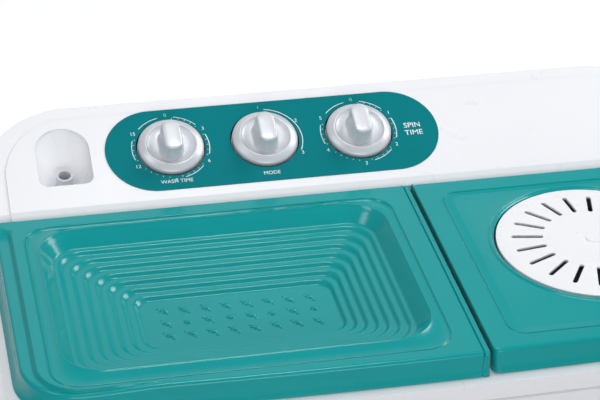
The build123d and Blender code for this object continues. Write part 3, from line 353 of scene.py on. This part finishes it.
def apron_profile(edge, depth, flare):
    """(inset, drop) pairs from an apron's foot up and round its top edge."""
    steps = []
    for q in (1.0, 0.985, 0.8, 0.55, 0.3, 0.12, 0.0):
        steps.append((-flare * q * q, edge + (depth - edge) * q))
    for a in (15, 30, 45, 60, 75, 90):
        c, s = math.cos(math.radians(a)), math.sin(math.radians(a))
        steps.append((edge * (1 - c), edge * (1 - s)))
    return steps


def rear_profile():
    """(inset, drop) pairs of the rolled rear edge: a small lip, then an arc about the hinge."""
    axis_drop = LID_TOP - HINGE_Z
    last = math.degrees(math.asin(axis_drop / REAR_REACH))
    steps = [(1.6, REAR_DEPTH), (1.2, 10.3), (0.5, 10.1), (0.15, 9.8), (0.05, 9.5), (0.0, 9.2),
             (0.0, axis_drop)]
    for share in (0.17, 0.34, 0.5, 0.67, 0.84, 1.0):
        a = math.radians(last * share)
        steps.append((REAR_REACH * (1 - math.cos(a)), axis_drop - REAR_REACH * math.sin(a)))
    return steps


def apron_rings(rect, radii, profiles, drop, goal, shares):
    """Rings from an apron's foot over the rounded top edge, then across the border towards the goal ring.
    profiles are for front, right, rear and left; drop lowers the border along the edge and fades out
    down the apron."""
    fade_from = 12.0
    rings = []
    for steps in zip(*profiles):
        plan, normal = outline(rect, radii, LID_COUNTS, [a for a, _ in steps], True)
        weights = np.column_stack([np.clip(-normal[:, 1], 0, 1), np.clip(normal[:, 0], 0, 1),
                                   np.clip(normal[:, 1], 0, 1), np.clip(-normal[:, 0], 0, 1)]) ** 2
        deep = weights @ np.array([b for _, b in steps])
        rise = smooth_share((plan[:, 1] - SIDE_RISE[0]) / SIDE_RISE[1]) * (np.abs(normal[:, 0]) > 0.5)
        deep = deep * (1 - rise) + np.minimum(deep, REAR_DEPTH) * rise
        low = drop(plan, 0.0)
        fade = np.clip((APRON_DEPTH - deep) / (APRON_DEPTH - fade_from), 0, 1)
        low = np.where(deep > fade_from, low * fade, low)
        rings.append(np.column_stack([plan, LID_TOP - deep - low]))
    edge = plan
    for share in shares:
        spot = edge + (np.array(goal)[:, :2] - edge) * share
        rings.append(np.column_stack([spot, LID_TOP - drop(spot, share)]))
    return rings


def groove_steps():
    """(grow, rise) pairs of the narrow rounded groove round a field."""
    return [(2.2, 0.0), (1.5, -0.06), (0.9, -0.35), (0.45, -FIELD_STEP - 0.10), (0.0, -FIELD_STEP - 0.20),
            (-0.4, -FIELD_STEP - 0.10)]


def beaded_step(rect):
    """Groove round a field, then a bead on its inner side."""
    bead = [(-0.9, 0.45), (-1.6, 0.80), (-2.3, 0.80), (-3.0, 0.40), (-3.5, 0.05), (-4.0, 0.0), (-4.5, 0.0)]
    steps = groove_steps() + [(grow, up - FIELD_STEP) for grow, up in bead]
    return [rect_ring(rect, LID_TOP + up, grow) for grow, up in steps]


def sloped_step(rect):
    """Groove round a field, then a soft slope that is long at the front and left and short elsewhere."""
    crest = [(-0.9, 0.55), (-1.5, 0.85), (-2.2, 0.85)]
    steps = groove_steps() + [(grow, up - FIELD_STEP) for grow, up in crest]
    rings = [rect_ring(rect, LID_TOP + up, grow) for grow, up in steps]
    for far, near, up in ((3.2, 2.6, 0.72), (9.6, 4.4, 0.16), (10.4, 4.7, 0.0), (11.2, 5.0, 0.0)):
        plan, _ = outline(rect[:4], (rect[4],) * 4, LID_COUNTS, (far, near, near, far))
        rings.append(flat_ring(plan, LID_TOP - FIELD_STEP + up))
    return rings


def add_wall(obj):
    """Gives a lofted lid skin its wall, inward."""
    wall = obj.modifiers.new("wall", "SOLIDIFY")
    wall.thickness = LID_WALL * MM
    wall.offset = -1.0
    wall.use_quality_normals = True


def build_hinge_ribs(name, centres, body):
    """Pairs of rounded ribs under a lid's rear edge that carry its hinge pins."""
    radius, half_gap = 7.0, 9.0
    angles = np.linspace(0, 2 * math.pi, 28, endpoint=False)
    ribs = []
    for x in centres:
        for side in (-half_gap, half_gap):
            sections = []
            for dx, scale in ((-2.0, 0.9), (-1.6, 1.0), (1.6, 1.0), (2.0, 0.9)):
                sections.append([(x + side + dx, HINGE_Y + radius * scale * math.cos(a),
                                  HINGE_Z + radius * scale * math.sin(a)) for a in angles])
            ribs.append(loft(sections, close_last=True, close_first=True))
    make_object(name, *join(ribs), "lid_teal", body)


# ------------------------------------------------------------------ wash lid with its scrub tray
WASH_RECT = (-375.0, 54.0, -214.5, 97.6)
WASH_PANEL = (-348.0, 32.0, -199.0, 76.0, 28.0)
TRAY_RIM = (-334.0, 22.0, -175.0, 69.0, 40.0)
TRAY_TOP = (-322.0, 8.0, -163.0, 52.5, 28.0)
TRAY_TOP_Z = 857.0              # foot of the tray's upper wall, where the terraces begin
TRAY_FLOOR = (-242.0, -53.0, -96.0, -19.0, 14.0)
TRAY_FLOOR_Z = 832.0
TERRACES = 7


def between(first, second, share):
    """Rectangle part of the way from one to another."""
    return tuple(a + (b - a) * share for a, b in zip(first, second))


def wash_drop(plan, share):
    """Long facet along the left edge: the outer strip lies lower, from the rear round the front corner."""
    x, y = plan[:, 0], plan[:, 1]
    along_left = np.sqrt(np.clip((76.0 - y) / 8.0, 0, 1)) * (x < -300)
    along_front = smooth_share((-240.0 - x) / 85.0)
    amount = np.where(y < -150, along_front, along_left) * (x < -200)
    return 4.0 * amount * (1 - np.clip((share - 0.40) / 0.20, 0, 1))


def terrace_rings():
    """Rounded steps of the tray from its rim down to the floor."""
    base = LID_TOP - FIELD_STEP
    rings = [rect_ring(TRAY_RIM, base + up, grow) for grow, up in (
        (3.0, 0.0), (2.4, 0.35), (1.8, 0.65), (1.0, 0.75), (0.4, 0.45), (-0.3, -0.5))]
    high = base - 0.5
    for q in (0.12, 0.3, 0.6, 0.86, 0.95, 1.0):
        rect = between(TRAY_RIM, TRAY_TOP, 0.05 + 0.95 * q)
        rings.append(rect_ring(rect, high + (TRAY_TOP_Z - high) * min(1.0, q * 1.04)))
    fall = (TRAY_TOP_Z - TRAY_FLOOR_Z) / TERRACES
    for k in range(TERRACES):
        for q in (0.12, 0.22, 0.30, 0.38, 0.46, 0.54, 0.62, 0.70, 0.77, 0.84, 0.92, 1.0):
            rect = between(TRAY_TOP, TRAY_FLOOR, (k + q) / TERRACES)
            sink = float(smooth_share((q - 0.22) / 0.60))
            rings.append(rect_ring(rect, TRAY_TOP_Z - fall * (k + sink)))
    return rings


def dome(centre, rx, ry, height, angle):
    """Low rounded bump with a soft skirt."""
    count = 16
    ca, sa = math.cos(math.radians(angle)), math.sin(math.radians(angle))
    rings = []
    for share, up in ((1.35, -0.4), (1.12, 0.05), (0.95, 0.22), (0.8, 0.5), (0.58, 0.8), (0.3, 0.96)):
        ring = []
        for i in range(count):
            a = 2 * math.pi * i / count
            x, y = rx * share * math.cos(a), ry * share * math.sin(a)
            ring.append((centre[0] + x * ca - y * sa, centre[1] + x * sa + y * ca, centre[2] + height * up))
        rings.append(ring)
    verts, faces = loft(rings)
    top = len(verts)
    last = top - count
    verts.append((centre[0], centre[1], centre[2] + height))
    for i in range(count):
        faces.append((last + i, last + (i + 1) % count, top))
    return verts, faces


def pebbles():
    """Worn-looking pebbles on the tray floor, each with two small neighbours, in columns and rows."""
    columns, rows = 8, 3
    x0, x1, y0, y1 = TRAY_FLOOR[:4]
    rng = np.random.default_rng(7)
    domes = []
    for column in range(columns):
        for row in range(rows):
            cx = x0 + 10 + (column + 0.5) * (x1 - x0 - 20) / columns
            cy = y0 + 7 + (row + 0.5) * (y1 - y0 - 14) / rows
            for part, (dx, dy, size) in enumerate(((0, 0, 1.0), (3.6, -5.2, 0.5), (-4.6, 4.4, 0.42))):
                if part and row == 1 and column % 2:
                    continue
                jitter = rng.uniform(-0.7, 0.7, 3)
                centre = (cx + dx + jitter[0], cy + dy + jitter[1], TRAY_FLOOR_Z)
                domes.append(dome(centre, 4.3 * size, 3.4 * size, 2.1 * size, 20 * jitter[2]))
    return join(domes)


def build_wash_lid():
    """Skin of the wash lid with its tray in one piece, and the pebbles on the tray's floor."""
    profiles = (apron_profile(APRON_EDGE, APRON_DEPTH, 3.0), apron_profile(1.1, 2.6, 0.0), rear_profile(),
                apron_profile(APRON_EDGE, APRON_DEPTH, 6.0))
    shares = (0.05, 0.15, 0.28, 0.37, 0.40, 0.43, 0.47, 0.50, 0.53, 0.57, 0.60, 0.63, 0.8, 1.0)
    rings = apron_rings(WASH_RECT, (1.6, 1.6, 2.0, 56.0), profiles, wash_drop,
                        rect_ring(WASH_PANEL, LID_TOP, BEAD_FOOT), shares)
    rings += beaded_step(WASH_PANEL)
    rings += terrace_rings()
    lid = make_object("wash_lid_skin", *loft(rings, close_last=True), "lid_teal", "wash_lid_body")
    add_wall(lid)
    make_object("scrub_pebbles", *pebbles(), "lid_teal", "wash_lid_body")
    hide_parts("wash_lid")


def edge_path(front_y, x):
    """Side view of a lid's edge strip, round the rear, over the top and down the apron:
    place, outward normal, and how far down the apron as a share."""
    front = front_y + FRONT_BOW * (x / HALF_W) ** 2
    path = []
    for a in np.linspace(0, 58, 8):
        c, s = math.cos(math.radians(a)), math.sin(math.radians(a))
        path.append((HINGE_Y + REAR_REACH * c, HINGE_Z + REAR_REACH * s, c, s, 0.0))
    for y in np.linspace(90.0, front + 8.0, 24):
        path.append((y, LID_TOP, 0.0, 1.0, 0.0))
    for a in np.linspace(90, 180, 9):
        c, s = math.cos(math.radians(a)), math.sin(math.radians(a))
        path.append((front + APRON_EDGE + APRON_EDGE * c, LID_TOP - APRON_EDGE + APRON_EDGE * s, c, s, 0.0))
    for q in np.linspace(0.1, 1.0, 9):
        fall = APRON_EDGE + (APRON_DEPTH - APRON_EDGE) * q
        path.append((front - 3.0 * q * q, LID_TOP - fall, -1.0, 0.0, q))
    return path


def build_edge_strip():
    """Bead along the seam side of the wash lid, standing off by a narrow groove."""
    strip_x = 60.0
    section = [(-10.0, -3.4), (-10.0, -1.9), (-5.1, -1.9), (-5.1, -0.7), (-4.7, -0.15), (-4.1, 0.0),
               (-2.5, 0.12), (-0.9, 0.0), (-0.25, -0.25), (0.0, -0.9), (0.0, -3.4)]
    rings = []
    for y, z, ny, nz, q in edge_path(WASH_RECT[2], strip_x):
        widen = 1.0 + 0.75 * max(0.0, q - 0.35) ** 1.5
        rings.append([(strip_x + u * widen, y + ny * w, z + nz * w) for u, w in section])
    verts, faces = loft(rings, close_last=True, close_first=True)
    make_object("wash_lid_edge_strip", verts, faces, "lid_teal", "wash_lid_body")


# ------------------------------------------------------------------ spin lid
SPIN_RECT = (64.5, 375.0, -212.0, 97.6)
SPIN_PANEL = (88.0, 352.0, -190.0, 71.0, 18.0)


def no_drop(plan, share):
    """The spin lid's border is level."""
    return np.zeros(len(plan))


def ring_round_vent(radius, z):
    """Circle whose points face those of the spin lid's field, so that the field can close round the vent."""
    plan, _ = outline(SPIN_PANEL[:4], (SPIN_PANEL[4],) * 4, LID_COUNTS)
    away = plan - np.array(VENT)
    angle = np.unwrap(np.arctan2(away[:, 1], away[:, 0]))
    spot = np.column_stack([np.cos(angle), np.sin(angle)]) * radius + np.array(VENT)
    return flat_ring(spot, z)


def build_spin_lid():
    """Skin of the spin lid, with a bead round the hole for the vent, and a black ring in the vent's gap as
    painted shade.
    """
    profiles = (apron_profile(APRON_EDGE, APRON_DEPTH, 3.0), apron_profile(APRON_EDGE, APRON_DEPTH, 6.0),
                rear_profile(), apron_profile(1.8, APRON_DEPTH, 0.0))
    rings = apron_rings(SPIN_RECT, (56.0, 2.0, 2.0, 7.0), profiles, no_drop,
                        rect_ring(SPIN_PANEL, LID_TOP, BEAD_FOOT), (0.08, 0.3, 0.65, 1.0))
    rings += sloped_step(SPIN_PANEL)
    field = LID_TOP - FIELD_STEP
    bead = ((109.6, 0.0), (108.9, 0.12), (108.0, 0.6), (107.2, 1.3), (106.3, 1.7), (105.4, 1.5),
            (104.7, 0.8), (104.1, 0.2), (103.3, -0.1), (102.6, -0.35), (102.1, -1.1), (102.0, -3.0))
    rings += [ring_round_vent(radius, field + up) for radius, up in bead]
    lid = make_object("spin_lid_skin", *loft(rings), "lid_teal", "spin_lid_body")
    add_wall(lid)
    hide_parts("spin_lid")
    # black ring down in the gap round the vent disc: painted shade for the deep gap
    section = ((100.1, -3.3), (100.1, -2.6), (101.9, -2.4), (102.0, -3.3))
    vent_shade = turn_about([(radius, field + up) for radius, up in section], 120, VENT)
    make_object("vent_gap_shade_ring", *loft(vent_shade + vent_shade[:1]), "rubber_black", "spin_lid_body")


# ------------------------------------------------------------------ knobs
def place(obj, x, v):
    """Moves a mesh built round the origin to its place on the console, with Z out of its face."""
    origin = CONSOLE_ORIGIN + Vector((x, v * math.cos(TILT), v * math.sin(TILT)))
    obj.data.transform(Matrix.Translation(origin * MM) @ Matrix.Rotation(TILT, 4, "X"))


def grip_ring(half_w, front, rear, corner_front, corner_rear, h):
    """Rounded bar section; its long axis points up the slope."""
    corners = (corner_front, corner_rear, corner_rear, corner_front)
    plan, _ = outline((-half_w, half_w, -front, rear), corners, (10, 14, 9))
    return flat_ring(plan, h)


def build_knob(index, node, body):
    """Turned skirt with a broad bevelled ring and shallow dish, a raised bar grip, and a dark liner in the
    well that the skirt turns in, which is painted shade for the deep gap round the skirt."""
    count = 96
    skirt = [(34.4, -1.4), (34.8, -0.9), (35.0, 2.6), (34.9, 3.6), (34.3, 4.6), (33.0, 5.5), (30.6, 6.7),
             (28.2, 7.8), (27.2, 8.1), (26.5, 8.0), (26.1, 7.6), (25.6, 6.9), (24.6, 6.4), (22.0, 5.7),
             (19.0, 5.1), (16.0, 4.9), (12.0, 5.0), (5.0, 5.0)]
    # each level: half width, reach to the front and to the rear, front and rear corners, height
    grip = [(14.4, 22.0, 21.0, 14.0, 14.0, 4.6), (12.8, 21.2, 20.4, 12.4, 12.4, 5.4),
            (11.8, 20.8, 20.0, 11.2, 11.4, 6.8), (11.2, 20.6, 19.8, 10.2, 10.8, 9.5),
            (10.6, 20.3, 19.5, 9.0, 10.2, 15.0), (10.1, 20.0, 19.2, 8.2, 9.7, 20.0),
            (9.8, 19.8, 19.0, 7.8, 9.4, 23.6), (9.45, 19.5, 18.7, 7.5, 9.1, 24.6),
            (8.8, 18.8, 18.0, 7.0, 8.4, 25.2), (7.9, 17.8, 17.1, 6.4, 7.4, 25.5),
            (5.0, 13.0, 13.0, 4.0, 4.6, 25.8), (1.6, 5.0, 6.0, 1.0, 1.4, 25.9)]
    verts, faces = join([loft(turn_about(skirt, count), close_last=True, close_first=True),
                         loft([grip_ring(*level) for level in grip], close_last=True)])
    knob = make_object(node + "_skin", verts, faces, "knob_silver", body)
    place(knob, KNOB_X[index], KNOB_V)
    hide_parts(node)
    # dark liner in the well: painted shade for the deep gap between the knob's skirt and the well
    section = [(35.5, -2.8), (35.5, -2.6), (36.2, -2.5), (36.35, 0.4), (36.5, 0.88), (36.95, 0.88),
               (36.95, 0.2), (36.6, -2.8)]
    well = turn_about(section, count)
    verts, faces = loft(well + well[:1])
    ring = make_object(node + "_shade_liner", verts, faces, "knob_gap_shade", "cabinet_body", "control_black")
    place(ring, KNOB_X[index], KNOB_V)


# ------------------------------------------------------------------ inlet scoop
SCOOP_X = -294.5
SCOOP_V = (36.5, 111.0)         # front and rear end up the slope
SCOOP_HALF = 28.5               # half width, and radius of the round rear end
SCOOP_CORNER = 10.0
SCOOP_DEPTH = 29.0
SCOOP_RISE = (60.5, 0.565)      # where the floor begins to rise, and its slope


def scoop_half_width(v):
    """Half the width of the scoop at a place up the slope."""
    start, end = SCOOP_V
    round_from, corner_to = end - SCOOP_HALF, start + SCOOP_CORNER
    if v > round_from:
        return math.sqrt(max(0.0, SCOOP_HALF ** 2 - (v - round_from) ** 2))
    if v < corner_to:
        return SCOOP_HALF - SCOOP_CORNER + math.sqrt(SCOOP_CORNER ** 2 - (corner_to - v) ** 2)
    return SCOOP_HALF


def build_scoop():
    """Smooth trough that lines the inlet scoop, deepest at its front."""
    length = SCOOP_V[1] - SCOOP_V[0]
    rows = np.concatenate([[0.02, 0.3, 0.8, 1.6, 2.6, 3.8, 5.5, 7.5], np.linspace(10, length - 3, 30),
                           [length - 1.8, length - 0.9, length - 0.35, length - 0.05]])
    across = np.sin(np.linspace(-math.pi / 2, math.pi / 2, 45))
    verts, faces = [], []
    for row in rows:
        v = SCOOP_V[0] + row
        wide = scoop_half_width(v) - 0.05
        floor = SCOOP_DEPTH - max(0.0, v - SCOOP_RISE[0]) * SCOOP_RISE[1]
        deep = floor * min(1.0, row / 3.0) ** 0.5
        rim = min(-1.2 * min(1.0, floor / 2.5), -0.1)
        for u in across:
            bowl = (1 - abs(u) ** 2.3) ** 0.62
            verts.append((SCOOP_X + u * wide, v, rim - deep * bowl * 0.95))
    count = len(across)
    for j in range(len(rows) - 1):
        for i in range(count - 1):
            a = j * count + i
            faces.append((a, a + 1, a + count + 1, a + count))
    scoop = make_object("inlet_scoop_skin", verts, faces, "white_plastic", "cabinet_body")
    place(scoop, 0.0, 0.0)


# ------------------------------------------------------------------ printed marks on the control panel
PRINT_H = 0.86                  # height of the print above the console
NUMBER_R, NUMBER_SIZE = 43.4, 6.2
DIAL_NUMBERS = (("0", "3", "6", "9", "12", "15"), ("1", "2", "3"), ("0", "1", "2", "3", "4", "5"))
TIMERS, SELECTOR = (0, 2), 1    # places of the knobs, from the left
LABELS = (("WASH TIME", KNOB_X[0], KNOB_V - 44.6, 6.4), ("MODE", KNOB_X[1], KNOB_V - 44.6, 6.4),
          ("SPIN", KNOB_X[2] + 59.5, KNOB_V + 2.0, 9.4), ("TIME", KNOB_X[2] + 59.5, KNOB_V - 8.0, 9.4))


def on_dial(index, radius, angle):
    """Place on the console at an angle round a knob; 90 degrees points up the slope."""
    turn = math.radians(angle)
    return KNOB_X[index] + radius * math.cos(turn), KNOB_V + radius * math.sin(turn)


def arc(index, radius, start, end):
    """Points of an arc round a knob."""
    return [on_dial(index, radius, a) for a in np.linspace(start, end, 24)]


def strip(points, width):
    """Flat printed line along points of the console."""
    verts, faces = [], []
    points = [np.array(p) for p in points]
    for i, p in enumerate(points):
        ahead = points[min(i + 1, len(points) - 1)] - points[max(i - 1, 0)]
        side = np.array([-ahead[1], ahead[0]]) / max(1e-6, np.hypot(*ahead)) * width / 2
        verts += [(*(p - side), PRINT_H), (*(p + side), PRINT_H)]
    for i in range(len(points) - 1):
        a = 2 * i
        faces.append((a, a + 2, a + 3, a + 1))
    return verts, faces


def lettering(text, x, v, size):
    """Flat letters centred on a point of the console."""
    curve = bpy.data.curves.new("text", "FONT")
    curve.body = text
    curve.size = size
    curve.align_x = "CENTER"
    curve.align_y = "CENTER"
    obj = bpy.data.objects.new("text", curve)
    bpy.context.scene.collection.objects.link(obj)
    bpy.context.view_layer.update()
    mesh = bpy.data.meshes.new_from_object(obj.evaluated_get(bpy.context.evaluated_depsgraph_get()))
    move = Vector((x, v, PRINT_H))
    verts = [tuple(p.co + move) for p in mesh.vertices]
    faces = [tuple(p.vertices) for p in mesh.polygons]
    bpy.data.objects.remove(obj)
    bpy.data.meshes.remove(mesh)
    bpy.data.curves.remove(curve)
    return verts, faces


def dial_numbers():
    """Numbers round each knob: the first one of each dial, and the rest."""
    first, rest = [], []
    for index, numbers in enumerate(DIAL_NUMBERS):
        for k, number in enumerate(numbers):
            text = lettering(number, *on_dial(index, NUMBER_R, 90 - 60 * k), NUMBER_SIZE)
            (rest if k else first).append(text)
    return first, rest


def timer_lines(index):
    """Arcs between a timer's numbers, and ticks at the steps between them."""
    lines = []
    for start, end, width in ((78, 42, 0.7), (20, -18, 0.9), (-42, -76, 0.7), (102, 138, 0.7),
                              (162, 198, 0.7)):
        lines.append(strip(arc(index, 41.2, start, end), width))
    for k in range(31):
        if k % 6:
            angle = 90 - 10 * k
            lines.append(strip([on_dial(index, 38.6, angle), on_dial(index, 40.0, angle)], 0.5))
    return lines


def build_marks():
    """Dial numbers, arcs and short generic labels printed on the panel."""
    green, white = dial_numbers()
    red = []
    for index in TIMERS:
        white += timer_lines(index)
        x = KNOB_X[index]
        red.append(strip([(x - 40.6, KNOB_V), (x - 38.4, KNOB_V)], 0.8))
    white.append(strip(arc(SELECTOR, 40.6, 82, -26), 0.8))
    white += [lettering(*label) for label in LABELS]
    for name, pieces in (("mark_white", white), ("mark_green", green), ("mark_red", red)):
        marks = make_object("panel_" + name, *join(pieces), name, "cabinet_body", "panel_teal", smooth=False)
        place(marks, 0.0, 0.0)


# ------------------------------------------------------------------ CAD nodes that stay
def dress_nodes():
    """Gives each CAD node the material of its slot."""
    slots = {part["node"]: part["material_slot"] for part in frame["record"]["subparts"]}
    for name, obj in NODES.items():
        obj.data.materials.clear()
        obj.data.materials.append(MATERIALS[slots[name]])


def soften(node, width, angle):
    """Rounds the edges sharper than an angle on a CAD node that stays in view."""
    obj = NODES[node]
    weld = obj.modifiers.new("weld", "WELD")
    weld.merge_threshold = 0.02 * MM
    flat = obj.modifiers.new("flat", "DECIMATE")
    flat.decimate_type = "DISSOLVE"
    flat.angle_limit = math.radians(0.4)
    bevel = obj.modifiers.new("bevel", "BEVEL")
    bevel.width = width * MM
    bevel.segments = 3
    bevel.limit_method = "ANGLE"
    bevel.angle_limit = math.radians(angle)
    bevel.use_clamp_overlap = True
    bevel.harden_normals = True
    bevel.miter_outer = "MITER_ARC"


# ------------------------------------------------------------------ stage, in metres
DECK = 0.87                     # height that the lamps point at
LAMPS = (                       # name, place, width, height, power, x of the point it faces
    ("overhead", (0.15, 0.3, 3.35), 0.8, 0.56, 16.5, 0.0),
    ("right_rear", (2.05, 0.95, 2.95), 1.7, 0.9, 40.0, -0.15),
    ("left_high", (-1.54, -0.28, 3.11), 0.8, 0.56, 8.0, 0.0),
    ("front_low", (-0.35, -3.4, 1.5), 2.6, 1.8, 50.0, 0.0))
GLOW_WINDOW = (("Y", -0.3, 0.45), ("Z", 0.76, 0.62), ("X", 0.38, 0.16), ("X", -0.55, -0.25))
GLOW, DIM = 0.54, 0.33          # strength of the bright wall behind, and of the room round it
CAMERA_AT = (-0.4862, -1.7720, 2.0370)
CAMERA_TURN = (31.46, 12.98, 1.56)  # degrees down, to the right and rolled
SENSOR, LENS = 36.0, 128.826


def build_world():
    """Dim room with a soft bright wall behind the washer."""
    scene = bpy.context.scene
    scene.view_settings.view_transform = "Standard"
    scene.view_settings.look = "None"
    world = bpy.data.worlds.new("studio")
    scene.world = world
    world.use_nodes = True
    nodes, links = world.node_tree.nodes, world.node_tree.links
    coords = nodes.new("ShaderNodeTexCoord")
    axes = separate(nodes, links, coords.outputs["Generated"])
    edges = [remap(nodes, links, axes[axis], start, end) for axis, start, end in GLOW_WINDOW]
    glow = edges[0]
    for edge in edges[1:]:
        glow = calculate(nodes, links, "MULTIPLY", glow, edge)
    sky = nodes["Background"]
    links.new(calculate(nodes, links, "MULTIPLY_ADD", glow, GLOW, DIM), sky.inputs["Strength"])
    sky.inputs["Color"].default_value = (0.97, 0.985, 1.0, 1.0)


def build_floor():
    """Plain pale floor that brightens towards the back."""
    reach = 14
    corners = [(-reach, -reach, 0), (reach, -reach, 0), (reach, reach, 0), (-reach, reach, 0)]
    mesh = bpy.data.meshes.new("studio_floor")
    mesh.from_pydata(corners, [], [(0, 1, 2, 3)])
    floor = bpy.data.objects.new("studio_floor", mesh)
    bpy.context.scene.collection.objects.link(floor)
    mat, nodes, links, bsdf, coords = new_material("pale_floor")
    cloud = noise(nodes, links, coords, 1.5, 3.0)
    links.new(ramp(nodes, links, cloud, (0.60, 0.61, 0.62, 1), (0.64, 0.64, 0.65, 1)),
              bsdf.inputs["Base Color"])
    bsdf.inputs["Roughness"].default_value = 0.7
    bsdf.inputs["Emission Color"].default_value = (1, 1, 1, 1)
    glow = remap(nodes, links, separate(nodes, links, coords)["Y"], -0.3, 0.7, 0.0, 0.6)
    links.new(glow, bsdf.inputs["Emission Strength"])
    floor.data.materials.append(mat)


def build_lamps():
    """Soft square lamps that face the top of the washer."""
    for name, spot, width, height, power, target_x in LAMPS:
        light = bpy.data.lights.new(name, "AREA")
        light.shape = "RECTANGLE"
        light.size = width
        light.size_y = height
        light.energy = power
        lamp = bpy.data.objects.new(name, light)
        bpy.context.scene.collection.objects.link(lamp)
        lamp.location = spot
        ray = Vector((target_x, 0.0, DECK)) - Vector(spot)
        lamp.rotation_euler = ray.to_track_quat("-Z", "Y").to_euler()


def build_camera():
    """Camera that looks down on the top from the front left, rolled a little."""
    pitch, yaw, roll = [math.radians(a) for a in CAMERA_TURN]
    forward = Vector((math.sin(yaw) * math.cos(pitch), math.cos(yaw) * math.cos(pitch), -math.sin(pitch)))
    level = Vector((math.cos(yaw), -math.sin(yaw), 0.0))
    above = level.cross(forward)
    right = level * math.cos(roll) + above * math.sin(roll)
    up = -level * math.sin(roll) + above * math.cos(roll)
    data = bpy.data.cameras.new("photo_camera")
    data.sensor_width = SENSOR
    data.lens = LENS
    data.clip_end = 60.0
    camera = bpy.data.objects.new("photo_camera", data)
    bpy.context.scene.collection.objects.link(camera)
    turn = Matrix((right, up, -forward)).transposed().to_4x4()
    camera.matrix_world = Matrix.Translation(CAMERA_AT) @ turn
    bpy.context.scene.camera = camera


make_materials()
dress_nodes()
build_wash_lid()
build_edge_strip()
build_spin_lid()
build_hinge_ribs("wash_lid_ribs", (-345.0, 26.0), "wash_lid_body")
build_hinge_ribs("spin_lid_ribs", (98.0, 345.0), "spin_lid_body")
build_knob(0, "wash_timer_knob", "wash_timer")
build_knob(1, "selector_knob", "selector")
build_knob(2, "spin_timer_knob", "spin_timer")
build_scoop()
build_marks()
soften("top_cover", 1.6, 28.0)
soften("spin_vent", 0.9, 40.0)
build_world()
build_floor()
build_lamps()
build_camera()
